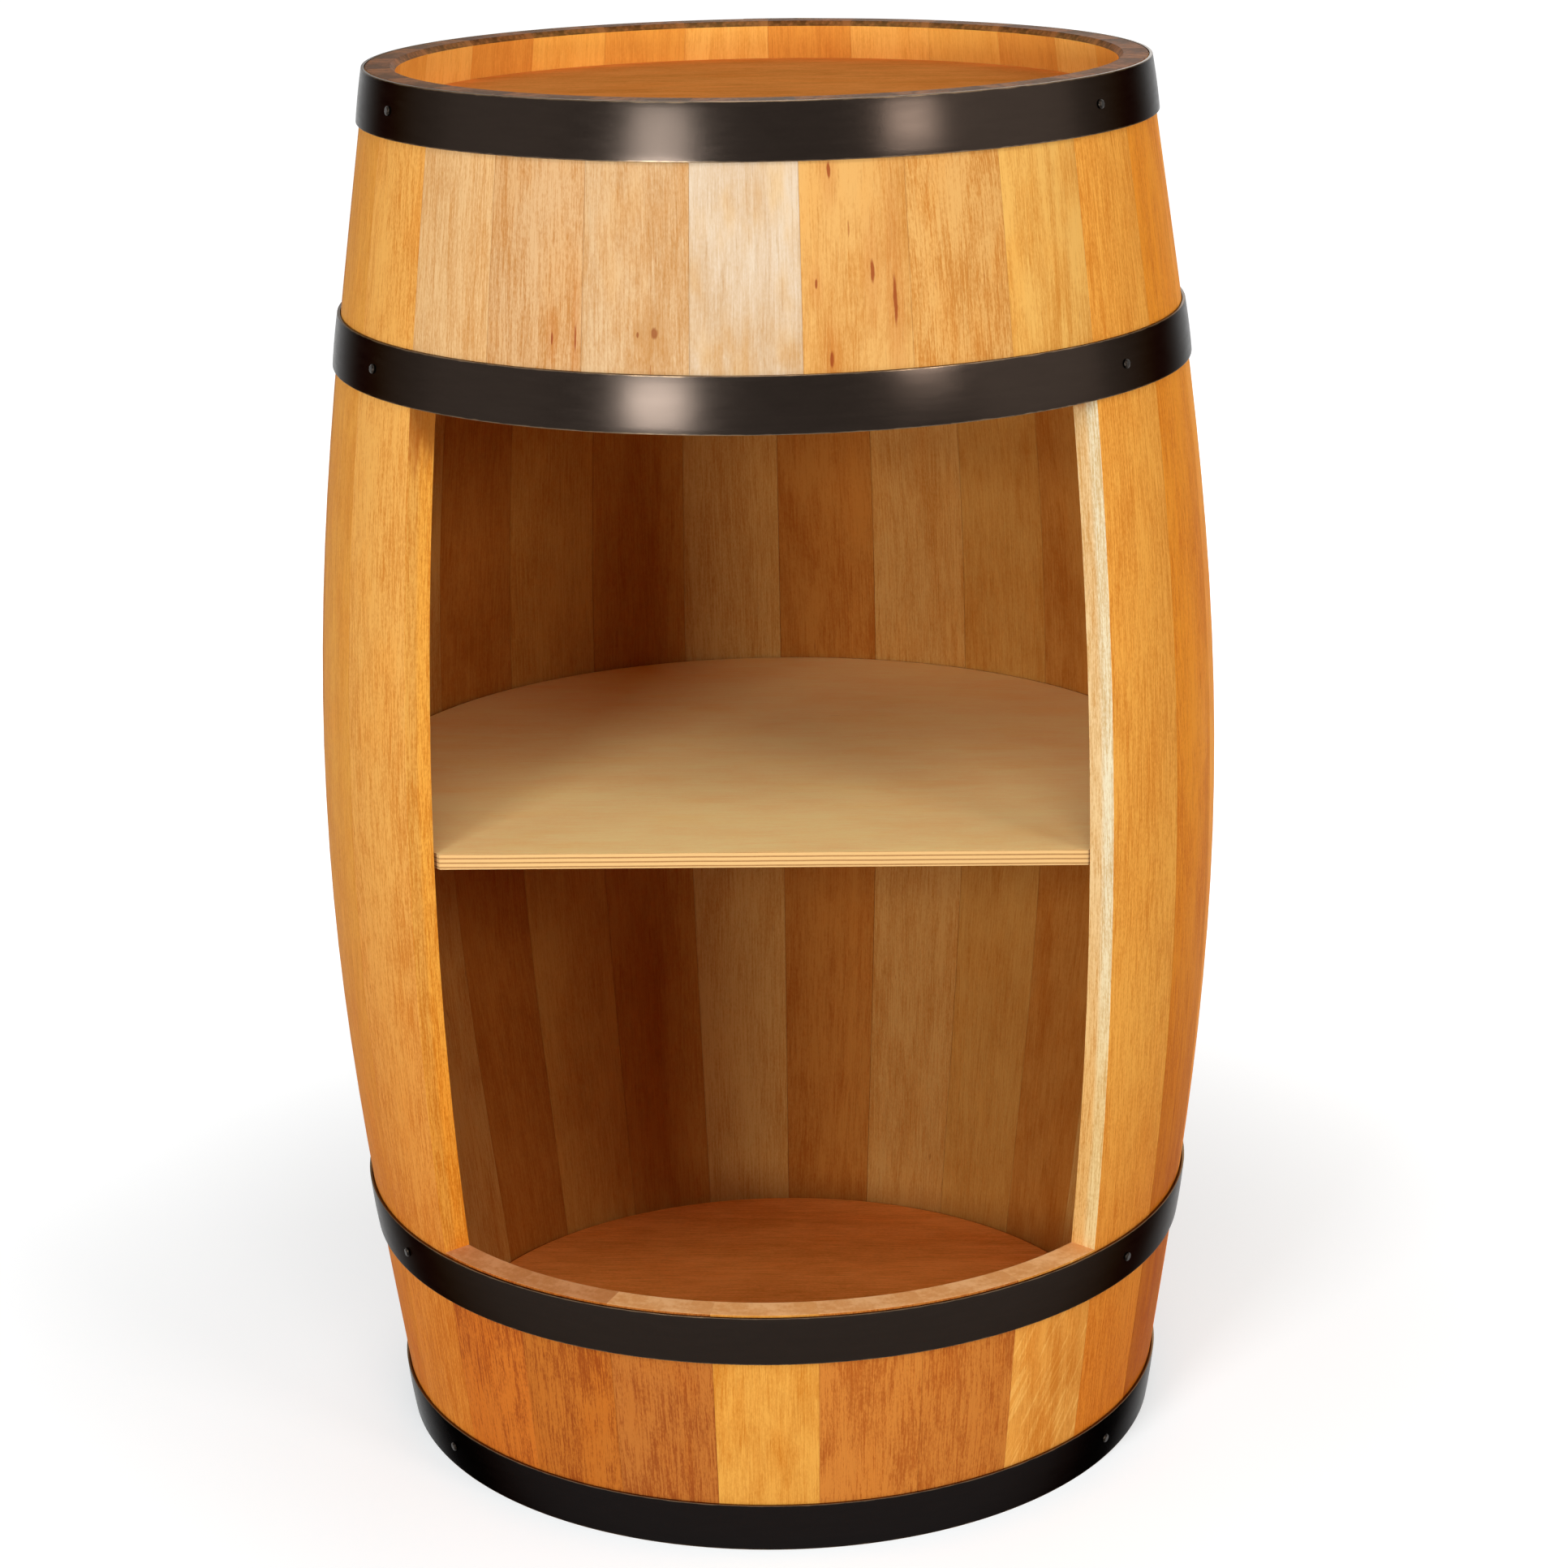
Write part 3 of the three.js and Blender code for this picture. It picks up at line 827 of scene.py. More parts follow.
# How much dirt the joints and the ends hold, how the sawn ends show their grain, and the relief's depth.
JOINT_DIRT = 0.07
END_DIRT = 0.30
DIRT_REACH = 1 * MM
SAWN_TILTS = (0.5, 0.62)
SAWN_SHARE = 0.88
SAWN_FINE = ((260, 260, 260), 3, 0.6)
SAWN_BROAD = ((45, 60, 60), 3, 0.6)
SAWN_FINE_SHARE = 0.4
SAWN_BROAD_SHARE = 0.6
SAWN_VALUES = (0.40, 0.62)
STAVE_RELIEF = 0.12 * MM


def with_end_grain(tree, wood, board, look):
    fine = times(tree, noise(tree, board, *SAWN_FINE), SAWN_FINE_SHARE)
    broad = times(tree, noise(tree, board, *SAWN_BROAD), SAWN_BROAD_SHARE)
    mottle = ramp(tree, calc(tree, "ADD", fine, broad), *SAWN_VALUES)
    end_grain = blend_colour(tree, mottle, linear(look["end_dark"]), linear(look["end_light"]))
    sawn = times(tree, level_share(tree, *SAWN_TILTS), SAWN_SHARE)
    return blend_colour(tree, sawn, wood, end_grain)


def stave_material(name, look, low, high, stave):
    """Varnished wood for one stave: its grain and marks, darker seams, and end grain on the sawn ends."""
    material, tree, shader = new_material(name)
    board = flat_place(tree, "board")
    grain = grain_of(tree, board, look["tone"], look)
    wood = with_marks(tree, grain["Color"], board, look["marks"], stave)
    edge = use_group(tree, "edge wear", {
        "Place": board, "Half Width": BOARD_WIDTH / 2, "Low": low, "High": high, "Reach": DIRT_REACH,
    })
    for label, dirt in (("Sides", JOINT_DIRT), ("Ends", END_DIRT)):
        wood = blend_colour(tree, times(tree, edge[label], dirt), wood, colours().seam)
    wood = with_painted_light_and_shade(tree, wood, board, high, look)
    if look["rays"]:
        wood = with_rays(tree, wood, board, look)
    if "cut_outer" in look:
        wood = with_cut_face(tree, wood, board, look)
    dress_wood(tree, shader, with_end_grain(tree, wood, board, look), grain, STAVE_RELIEF)
    return material


# The looks of the staves that the photographed side hides are drawn from these.
PLAIN_TONES = ("#e4a04a", "#d98f3c", "#e8aa5a", "#d3883a", "#dd9a48", "#e3a253", "#cf8133")
PLAIN_STRENGTHS = {
    "fibres": (0.40, 0.60), "lines": (0.35, 0.65), "clouds": (0.3, 0.55), "figure": (0.05, 0.3),
    "blush": (0.2, 0.5), "flecks": (0.1, 0.6),
}
OFFSET_REACH = 9


def plain_look(seed):
    """A stave's look drawn from a seed."""
    chance = random.Random(seed)
    look = {name: chance.uniform(*limits) for name, limits in PLAIN_STRENGTHS.items()}
    look["offset"] = tuple(chance.uniform(0, OFFSET_REACH) for _ in range(3))
    # deep_from and foot set where the painted shade towards the floor begins, and how dark it is.
    look.update(
        tone=PLAIN_TONES[seed % len(PLAIN_TONES)], end_dark="#3f2615", end_light="#935c34",
        deep_from=0.30, foot=1.0, contrast=1.0, rays=0.0, marks=(),
    )
    return look


def look_of(seed, tone, marks=(), **changes):
    look = plain_look(seed)
    look.update(tone=tone, marks=marks, **changes)
    return look


def upper_looks():
    """The staves above the opening, from left to right."""
    return [
        look_of(31, "#deaa71", fibres=0.62, clouds=0.3, figure=0.2),
        look_of(32, "#d19e6a", fibres=0.75, lines=0.75, figure=0.25, marks=(
            (STREAK, -25.2, 0.690, 0.8 * MM, 4 * MM), (STREAK, -21.9, 0.691, 0.8 * MM, 8 * MM),
        )),
        # The third and fourth staves' pale tones are partly their own and partly a painted sheen of the
        # varnish.
        look_of(33, "#d0a475", clouds=0.7, blush=0.5, marks=(
            (KNOT, -11.4, 0.695, 2.2 * MM, 3.4 * MM), (KNOT, -13.6, 0.694, 0.9 * MM, 1.8 * MM),
        )),
        look_of(34, "#d4b696", figure=0.15, clouds=0.5, fibres=0.28, blush=0.8),
        look_of(35, "#d69b55", marks=(
            (STREAK, 19.0, 0.709, 1.5 * MM, 15 * MM), (STREAK, 16.2, 0.724, 1.5 * MM, 7 * MM),
            (STREAK, 11.0, 0.775, 1.3 * MM, 5 * MM), (STREAK, 8.9, 0.719, 1.0 * MM, 3 * MM),
            (STREAK, 10.6, 0.681, 1.2 * MM, 5 * MM),
        )),
        look_of(36, "#d89c55", fibres=0.80, lines=0.8),
        look_of(37, "#e4a652", figure=0.5, clouds=0.6),
    ]


def lower_looks():
    """The staves below the opening, from left to right, sawn newly along the ledge."""
    looks = [
        look_of(41, "#d06a20", fibres=1.0, clouds=0.8, figure=0.35, contrast=1.75, marks=(
            (STREAK, -35.0, 0.070, 0.6 * MM, 28 * MM),
        )),
        look_of(42, "#c26721", fibres=1.0, lines=0.9, clouds=0.75, figure=0.3, contrast=1.65),
        look_of(43, "#be6928", fibres=0.95, lines=0.9, clouds=0.8, contrast=1.5),
        look_of(44, "#e69c41", figure=0.2, clouds=0.6),
        look_of(45, "#cf782e", fibres=0.9, lines=0.8, clouds=0.8, contrast=1.3),
        look_of(46, "#cd762d", fibres=0.9, lines=0.7, clouds=0.7, contrast=1.3),
        look_of(47, "#ee9e44", figure=0.4, clouds=0.6, rays=0.7),
    ]
    for look in looks[:2]:
        look.update(end_dark="#c3824e", end_light="#d79a68")
    for look in looks[2:]:
        look.update(end_dark="#e0a063", end_light="#f2bc84")
    return looks


# How the side staves nearest the opening differ from a plain look.
SEEN_SIDE_LOOKS = {
    ("left", 1): {
        "tone": "#e9a14d", "fibres": 0.85, "lines": 0.7, "deep_from": 0.50, "cut_outer": "#e6a049",
        "cut_inner": "#f2a542", "stain_reach": 42 * MM, "stain_width": 36 * MM,
    },
    ("right", 1): {
        "tone": "#f1a344", "fibres": 0.72, "lines": 0.25, "clouds": 0.25, "cut_outer": "#efd6ac",
        "cut_inner": "#ecbf84", "stain_reach": 9 * MM, "stain_width": 15 * MM,
    },
    # The second right stave is darker still at its lower part: painted shade.
    ("right", 2): {"tone": "#ee922b", "fibres": 0.7, "deep_from": 0.46, "foot": 0.70},
    # The third right stave's tone is brightened to make up for the low light on this far side: partly painted
    # light.
    ("right", 3): {"tone": "#fca23c"},
    ("left", 2): {"tone": "#e4983f", "deep_from": 0.46},
}
RIGHT_SEEDS_FROM = SIDE_STAVES + 2


def side_look(side, number):
    look = plain_look(number + (0 if side == "left" else RIGHT_SEEDS_FROM))
    look.update(SEEN_SIDE_LOOKS.get((side, number), {}))
    return look


# Staves.
def add_board(name, low, high, chimes, grooves):
    """A straight board with rounded edges, bevelled chimes, its croze grooves, and cuts to bend at."""
    depth = sizes().stave_thickness
    half = BOARD_WIDTH / 2
    piece = add_block(name, (-half, 0, low), (half, depth, high))
    open_piece(piece, "EDGE")
    for end in chimes:
        pick(piece, "EDGE", lambda e: at_level(e, end) and near(edge_middle(e).y, depth))
        bevel_picked(CHIME_BEVEL, 1)
    pick(piece, "EDGE", lambda e: along(e, "x") > MOSTLY and edge_middle(e).y < depth / 2)
    bevel_picked(END_ROUND)
    for end in {low, high} - set(chimes):
        pick(piece, "EDGE", lambda e: at_level(e, end) and near(edge_middle(e).y, depth))
        bevel_picked(END_ROUND)
    pick(piece, "EDGE", lambda e: along(e, "z") > MOSTLY and e.calc_length() > LONG_EDGE)
    bevel_picked(JOINT_ROUND)
    groove_levels = [level for groove in grooves for level in groove]
    count = max(round((high - low) / LEVEL_STEP), FEWEST_LEVELS)
    levels = [mix(low, high, step / count) for step in range(1, count)]
    clear = [z for z in levels if all(abs(z - g) > CROZE_CLEARANCE for g in groove_levels)]
    cut_at([(0, 0, z) for z in clear + groove_levels], (0, 0, 1))
    strips = [mix(-half, half, step / BOARD_STRIPS) for step in range(1, BOARD_STRIPS)]
    cut_at([(x, 0, 0) for x in strips], (1, 0, 0))
    inner_face = depth - INNER_FACE_REACH
    for _, floor_low, floor_high, _ in grooves:
        pick(piece, "VERT", lambda v: v.co.y > inner_face and (
            near(v.co.z, floor_low) or near(v.co.z, floor_high)
        ))
        bpy.ops.transform.translate(value=(0, -CROZE_DEPTH, 0))
    close_all()
    return piece


def groove_for(head):
    """The levels of a croze: its slopes and its floor, round a head's tongue."""
    tongue_top = HEAD_TOPS[head] - HEAD_SHOULDER
    low = tongue_top - TONGUE_THICKNESS - CROZE_GAP
    high = tongue_top + CROZE_GAP
    return (low - CROZE_SLOPE, low, high, high + CROZE_SLOPE)


def make_stave(pattern, node, stave, look, ends):
    """A board bent between two joints of the barrel."""
    def place(flat):
        share = flat.x / BOARD_WIDTH + 0.5
        angle = mix(joint_angle(stave, flat.z), joint_angle(stave + 1, flat.z), share)
        return point_at(angle, outer_radius(flat.z) - flat.y, flat.z)

    piece = bend_copy(pattern, f"{node}_wood", "board", place)
    mount(piece, node, stave_material(f"{node}_finish", look, *ends, stave))


class BARREL_OT_side_staves(bpy.types.Operator):
    """Add the full-length staves at both sides and the back"""

    bl_idname = "barrel.side_staves"
    bl_label = "Side staves"

    def execute(self, context):
        grooves = (groove_for("bottom_head"), groove_for("top_head"))
        pattern = add_board("side_board", 0, HEIGHT, (0, HEIGHT), grooves)
        for number in range(1, SIDE_STAVES + 1):
            places = {"left": SIDE_STAVES - number, "right": SIDE_STAVES + FRONT_STAVES + number - 1}
            for side, stave in places.items():
                look = side_look(side, number)
                make_stave(pattern, f"stave_{side}_{number}", stave, look, (0, HEIGHT))
        bpy.data.objects.remove(pattern)
        return {"FINISHED"}


def add_front_staves(kind, low, high, chime, head, looks):
    pattern = add_board(f"{kind}_board", low, high, (chime,), (groove_for(head),))
    for number, look in enumerate(looks, start=1):
        make_stave(pattern, f"{kind}_stave_{number}", SIDE_STAVES + number - 1, look, (low, high))
    bpy.data.objects.remove(pattern)


class BARREL_OT_upper_staves(bpy.types.Operator):
    """Add the short staves above the opening"""

    bl_idname = "barrel.upper_staves"
    bl_label = "Staves above the opening"

    def execute(self, context):
        add_front_staves("upper", OPENING_TOP, HEIGHT, HEIGHT, "top_head", upper_looks())
        return {"FINISHED"}


class BARREL_OT_lower_staves(bpy.types.Operator):
    """Add the short staves below the opening"""

    bl_idname = "barrel.lower_staves"
    bl_label = "Staves below the opening"

    def execute(self, context):
        add_front_staves("lower", 0, OPENING_BOTTOM, 0, "bottom_head", lower_looks())
        return {"FINISHED"}


# Hoops and what fastens them.
HOOP_WEAR_AND_HIGHLIGHT_REACH = 0.8 * MM
HOOP_WEAR_AND_HIGHLIGHT_SHARE = 0.45
HOOP_EDGE_TINT = (0.40, 0.40, 0.40, 1.0)
HOOP_RELIEF = 0.35 * MM
FASTENER_SPECKS = ((900, 900, 900), 3, 0.6)
FASTENER_VALUES = (0.4, 0.7)
FASTENER_DARK = "#1a1613"
FASTENER_LIGHT = "#3a322b"
FASTENER_ROUGHNESS = (0.16, 0.27)
FASTENER_RELIEF = 0.05 * MM


def hoop_material(name, colour):
    """Satin black-brown steel, scuffed along the edges, where the lighter line is partly a painted highlight.
    """
    material, tree, shader = new_material(name)
    strip = flat_place(tree, "strip")
    steel = use_group(tree, "coated steel", {"Strip": strip})
    edge = use_group(tree, "edge wear", {
        "Place": strip, "Half Width": 1.0, "Low": 0.0, "High": HOOP_WIDTH, "Reach": HOOP_WEAR_AND_HIGHLIGHT_REACH,
    })
    coat = blend_colour(tree, steel["Tone"], darker(colour), colour)
    # Bared steel along the edges, partly a painted highlight line.
    coat = blend_colour(tree, times(tree, edge["Ends"], HOOP_WEAR_AND_HIGHLIGHT_SHARE), coat, colours().hoop_wear_and_highlight)
    dress(tree, shader, coat, steel["Roughness"], steel["Height"], HOOP_RELIEF)
    shader.inputs["Metallic"].default_value = 1.0
    shader.inputs["Specular Tint"].default_value = HOOP_EDGE_TINT
    return material


def fastener_material():
    """Darkened steel with a fine speckle."""
    material, tree, shader = new_material("fastener_finish")
    speck = noise(tree, object_place(tree), *FASTENER_SPECKS)
    share = ramp(tree, speck, *FASTENER_VALUES)
    coat = blend_colour(tree, share, linear(FASTENER_DARK), linear(FASTENER_LIGHT))
    rough = calc(tree, "MULTIPLY_ADD", speck, *FASTENER_ROUGHNESS)
    dress(tree, shader, coat, rough, speck, FASTENER_RELIEF)
    shader.inputs["Metallic"].default_value = 1.0
    return material


def hoop_gap(angle):
    """How far the strip's inner face stands off the staves. Its far end rises and lies over its near end."""
    lift_from = HALF_TURN - LAP_ANGLE / 2 - LAP_RISE_ANGLE
    risen = smooth_step((angle - lift_from) / LAP_RISE_ANGLE)
    return HOOP_GAP + (sizes().hoop_thickness + LAP_GAP) * risen


def strip_half():
    return math.pi * sizes().belly_radius


def add_strip():
    """A straight strip of steel with rounded corners and edges, cut fine enough to bend."""
    half = strip_half()
    piece = add_block("hoop_strip", (-half, 0, 0), (half, sizes().hoop_thickness, HOOP_WIDTH))
    open_piece(piece, "EDGE")
    pick(piece, "EDGE", lambda e: along(e, "y") > MOSTLY)
    bevel_picked(HOOP_CORNER, HOOP_CORNER_SEGMENTS)
    pick(piece, "EDGE", lambda e: along(e, "y") < HARDLY)
    bevel_picked(HOOP_ROUND)
    long = half * HOOP_LONG_SHARE
    for _ in range(HOOP_CUT_ROUNDS):
        pick(piece, "EDGE", lambda e: along(e, "x") > MOSTLY and e.calc_length() > long)
        bpy.ops.mesh.subdivide(number_cuts=HOOP_CUTS)
    cut_at([(0, 0, HOOP_WIDTH * row / HOOP_ROWS) for row in range(1, HOOP_ROWS)], (0, 0, 1))
    close_all()
    return piece


def make_hoop(pattern, name, material):
    low = HOOP_LOWS[name]
    half = strip_half()
    reach = HALF_TURN + LAP_ANGLE / 2
    inner = (outer_radius(low), outer_radius(low + HOOP_WIDTH))

    def place(flat):
        angle = flat.x / half * reach
        across = flat.z / HOOP_WIDTH
        wall = mix(*inner, across) + HOOP_CROWN * 4 * across * (1 - across)
        return point_at(angle, wall + hoop_gap(angle) + flat.y, low + flat.z)

    piece = bend_copy(pattern, f"hoop_{name}_steel", "strip", place)
    mount(piece, f"hoop_{name}", material)


class BARREL_OT_hoops(bpy.types.Operator):
    """Add the four steel hoops, each lapped at the back"""

    bl_idname = "barrel.hoops"
    bl_label = "Hoops"

    def execute(self, context):
        material = hoop_material("hoop_finish", colours().hoop)
        # The lowest hoop gets a darker coat of its own: painted shade.
        shaded_foot_material = hoop_material("foot_hoop_finish", colours().shaded_foot_hoop)
        pattern = add_strip()
        for name in HOOP_LOWS:
            make_hoop(pattern, name, shaded_foot_material if name == "bottom" else material)
        bpy.data.objects.remove(pattern)
        return {"FINISHED"}


def seat_on_hoop(name, angle, depth):
    """The place and turn of a fastener's seat: Z points out of the hoop's face."""
    low = HOOP_LOWS[name]
    high = low + HOOP_WIDTH
    across = outer_radius(high) - outer_radius(low)
    radius = (outer_radius(low) + outer_radius(high)) / 2 + HOOP_GAP + HOOP_CROWN + depth
    outward = point_at(angle, HOOP_WIDTH, -across).normalized()
    turn = outward.to_track_quat("Z", "Y").to_matrix().to_4x4()
    return Matrix.Translation(point_at(angle, radius, (low + high) / 2)) @ turn


def add_fastener(name, radius, height, shank_radius, length, point):
    """A domed head on its shank, pointed where a point is given."""
    piece = add_disc(name, radius, SEAT_GAP, SEAT_GAP + height, FASTENER_SIDES)
    open_piece(piece, "EDGE")
    dome = height * DOME_SHARE
    pick(piece, "EDGE", lambda e: all(v.co.z > SEAT_GAP + dome for v in e.verts))
    bevel_picked(dome, DOME_SEGMENTS)
    pick(piece, "FACE", lambda f: f.normal.z < -MOSTLY)
    bpy.ops.mesh.inset(thickness=radius - shank_radius)
    straight = length - point
    bpy.ops.mesh.extrude_region_move(TRANSFORM_OT_translate={"value": (0, 0, -SEAT_GAP - straight)})
    if point > 0:
        bpy.ops.mesh.extrude_region_move(TRANSFORM_OT_translate={"value": (0, 0, -point)})
        bpy.ops.transform.resize(value=(POINT_SHARE, POINT_SHARE, 1), center_override=(0, 0, -length))
    close_all()
    return piece


def set_fasteners(pattern, seats, material):
    for node, seat in seats.items():
        piece = copy_piece(pattern, f"{node}_steel")
        piece.data.transform(seat)
        mount(piece, node, material)
    bpy.data.objects.remove(pattern)


class BARREL_OT_nails(bpy.types.Operator):
    """Add the hoop nails beside the opening"""

    bl_idname = "barrel.nails"
    bl_label = "Hoop nails"

    def execute(self, context):
        pattern = add_fastener(
            "nail", NAIL_RADIUS, NAIL_HEIGHT, NAIL_SHANK_RADIUS, NAIL_LENGTH, NAIL_POINT,
        )
        depth = sizes().hoop_thickness
        seats = {
            f"nail_{name}_{side}": seat_on_hoop(name, angle, depth)
            for name, pair in NAIL_ANGLES.items() for side, angle in zip(("left", "right"), pair)
        }
        set_fasteners(pattern, seats, fastener_material())
        return {"FINISHED"}


class BARREL_OT_rivets(bpy.types.Operator):
    """Add the two rivets through each hoop's lap"""

    bl_idname = "barrel.rivets"
    bl_label = "Hoop rivets"

    def execute(self, context):
        depth = 2 * sizes().hoop_thickness + LAP_GAP
        pattern = add_fastener("rivet", RIVET_RADIUS, RIVET_HEIGHT, RIVET_SHANK_RADIUS, depth, 0)
        seats = {}
        for name, low in HOOP_LOWS.items():
            half_angle = math.degrees(RIVET_SPACING / 2 / outer_radius(low))
            for side, turn in (("right", -half_angle), ("left", half_angle)):
                seats[f"rivet_{name}_{side}"] = seat_on_hoop(name, HALF_TURN + turn, depth)
        set_fasteners(pattern, seats, bpy.data.materials["fastener_finish"])
        return {"FINISHED"}


# Heads.
HEAD_GRAIN = (0.45, 0.5, 0.35, 0.1, 0.3, 0.1)
HEAD_GRAIN_OFFSET = (3.1, 1.7, 0.4)
HEAD_TURN = (0, QUARTER_TURN, math.radians(4))
HEAD_RELIEF = 0.10 * MM
HEAD_GLOSS = 0.0


def head_material():
    material, tree, shader = new_material("head_finish")
    place = moved(tree, object_place(tree), HEAD_GRAIN_OFFSET, HEAD_TURN)
    grain = use_grain(tree, place, colours().head, colours().head_dark, HEAD_GRAIN)
    dress_wood(tree, shader, grain["Color"], grain, HEAD_RELIEF, HEAD_GLOSS)
    return material


def make_head(node, material):
    """A round panel whose thinner tongue runs round the middle of its edge."""
    top = HEAD_TOPS[node]
    low = top - HEAD_THICKNESS
    middle = (low + top) / 2
    radius = min(inner_radius(low), inner_radius(top)) - CROZE_GAP
    piece = add_disc(f"{node}_panel", radius, low, top, HEAD_SIDES)
    open_piece(piece, "FACE")
    cut_at([(0, 0, low + HEAD_SHOULDER), (0, 0, top - HEAD_SHOULDER)], (0, 0, 1))
    pick(piece, "FACE", lambda f: abs(f.normal.z) < HARDLY and near(f.calc_center_median().z, middle))
    growth = (radius + CROZE_DEPTH) / radius
    bpy.ops.mesh.extrude_region_move()
    bpy.ops.transform.resize(value=(growth, growth, 1), center_override=(0, 0, middle))
    pick(piece, "EDGE", lambda e: at_level(e, top) or at_level(e, low))
    bevel_picked(HEAD_ROUND)
    close_all()
    mount(piece, node, material)


class BARREL_OT_heads(bpy.types.Operator):
    """Add the two round panels that close the barrel"""

    bl_idname = "barrel.heads"
    bl_label = "Heads"

    def execute(self, context):
        material = head_material()
        for node in HEAD_TOPS:
            make_head(node, material)
        return {"FINISHED"}


# The shelf and its blocks.
SHELF_GRAIN = (0.35, 0.4, 0.5, 0.1, 0.2, 0.15)
SHELF_GRAIN_OFFSET = (5.3, 2.2, 0.9)
SHELF_FACE_TILTS = (0.7, 0.9)
PLY_COUNT = 7
PLY_WAVES = ((18, 18, 0), 2)
PLY_WAVE_SHARE = 0.06
PLY_TEETH = ((700, 700, 500), 3, 0.7)
PLY_SEAM = (0.12, 0.20)
PLY_TORN_SHARE = 0.35
SHELF_RELIEF = 0.08 * MM


def ply_bands(tree, place):
    """Bands of light and dark plies, with the dark ones torn a little by the saw."""
    wave = swing(tree, noise(tree, place, *PLY_WAVES), PLY_WAVE_SHARE)
    risen = calc(tree, "SUBTRACT", split_vector(tree, place)["Z"], SHELF_LOW)
    share = calc(tree, "ADD", calc(tree, "DIVIDE", risen, SHELF_HIGH - SHELF_LOW), wave)
    ply = calc(tree, "FRACT", times(tree, share, PLY_COUNT / 2))
    band = ramp(tree, calc(tree, "ABSOLUTE", calc(tree, "SUBTRACT", ply, 0.5)), *PLY_SEAM)
    tooth = noise(tree, place, *PLY_TEETH)
    torn = blend_colour(tree, tooth, colours().ply_dark, colours().ply_light)
    torn = blend_colour(tree, PLY_TORN_SHARE, colours().ply_dark, torn)
    return blend_colour(tree, band, torn, colours().ply_light)


def shelf_material():
    """Birch plywood: planed faces, and bands of plies on the edge."""
    material, tree, shader = new_material("shelf_finish")
    place = object_place(tree)
    along_x = moved(tree, place, SHELF_GRAIN_OFFSET, (0, QUARTER_TURN, 0))
    grain = use_grain(tree, along_x, colours().shelf, colours().shelf_dark, SHELF_GRAIN)
    face = level_share(tree, *SHELF_FACE_TILTS)
    wood = blend_colour(tree, face, ply_bands(tree, place), grain["Color"])
    dress_wood(tree, shader, wood, grain, SHELF_RELIEF)
    return material


class BARREL_OT_shelf(bpy.types.Operator):
    """Add the plywood shelf with its straight front edge"""

    bl_idname = "barrel.shelf"
    bl_label = "Shelf"

    def execute(self, context):
        radius = inner_radius(SHELF_HIGH) - SHELF_CLEARANCE
        piece = add_disc("shelf_board", radius, SHELF_LOW, SHELF_HIGH, SHELF_SIDES)
        open_piece(piece, "VERT")
        bpy.ops.mesh.select_all(action="SELECT")
        bpy.ops.transform.translate(value=(SHELF_OFFSET, 0, 0))
        front = (0, node_low("shelf").y, 0)
        bpy.ops.mesh.bisect(plane_co=front, plane_no=(0, -1, 0), clear_outer=True, use_fill=True)
        pick(piece, "EDGE", lambda e: near(e.verts[0].co.z, e.verts[1].co.z))
        bevel_picked(SHELF_ROUND)
        close_all()
        mount(piece, "shelf", shelf_material())
        return {"FINISHED"}


CLEAT_GRAIN = (0.6, 0.6, 0.3, 0.1, 0.2, 0.2)
CLEAT_GRAIN_OFFSET = (1.2, 4.4, 0.3)
CLEAT_DIRT = 0.5
CLEAT_RELIEF = 0.15 * MM


def cleat_material():
    material, tree, shader = new_material("cleat_finish")
    block = flat_place(tree, "board")
    along_x = moved(tree, block, CLEAT_GRAIN_OFFSET, (0, QUARTER_TURN, 0))
    grain = use_grain(tree, along_x, colours().cleat, darker(colours().cleat), CLEAT_GRAIN)
    edge = use_group(tree, "edge wear", {
        "Place": block, "Half Width": CLEAT_LENGTH / 2, "Low": 0.0, "High": CLEAT_SIZE,
        "Reach": DIRT_REACH,
    })
    wood = blend_colour(tree, times(tree, edge["Sides"], CLEAT_DIRT), grain["Color"], colours().seam)
    dress_wood(tree, shader, wood, grain, CLEAT_RELIEF)
    return material


def make_cleat(pattern, name, middle, material):
    low = SHELF_LOW - CLEAT_SIZE

    def place(flat):
        height = low + flat.z
        angle = middle + math.degrees(flat.x / inner_radius(SHELF_LOW))
        return point_at(angle, inner_radius(height) - CLEAT_GAP - flat.y, height)

    piece = bend_copy(pattern, f"{name}_block", "board", place)
    mount(piece, name, material)


class BARREL_OT_cleats(bpy.types.Operator):
    """Add the blocks that carry the shelf"""

    bl_idname = "barrel.cleats"
    bl_label = "Shelf cleats"

    def execute(self, context):
        half = CLEAT_LENGTH / 2
        pattern = add_block("cleat", (-half, 0, 0), (half, CLEAT_SIZE, CLEAT_SIZE))
        open_piece(pattern, "EDGE")
        bpy.ops.mesh.select_all(action="SELECT")
        bevel_picked(CLEAT_ROUND)
        cuts = [mix(-half, half, step / CLEAT_STRIPS) for step in range(1, CLEAT_STRIPS)]
        cut_at([(x, 0, 0) for x in cuts], (1, 0, 0))
        close_all()
        material = cleat_material()
        for place, angle in (("left", -90), ("rear", HALF_TURN), ("right", 90)):
            make_cleat(pattern, f"shelf_cleat_{place}", angle, material)
        bpy.data.objects.remove(pattern)
        return {"FINISHED"}


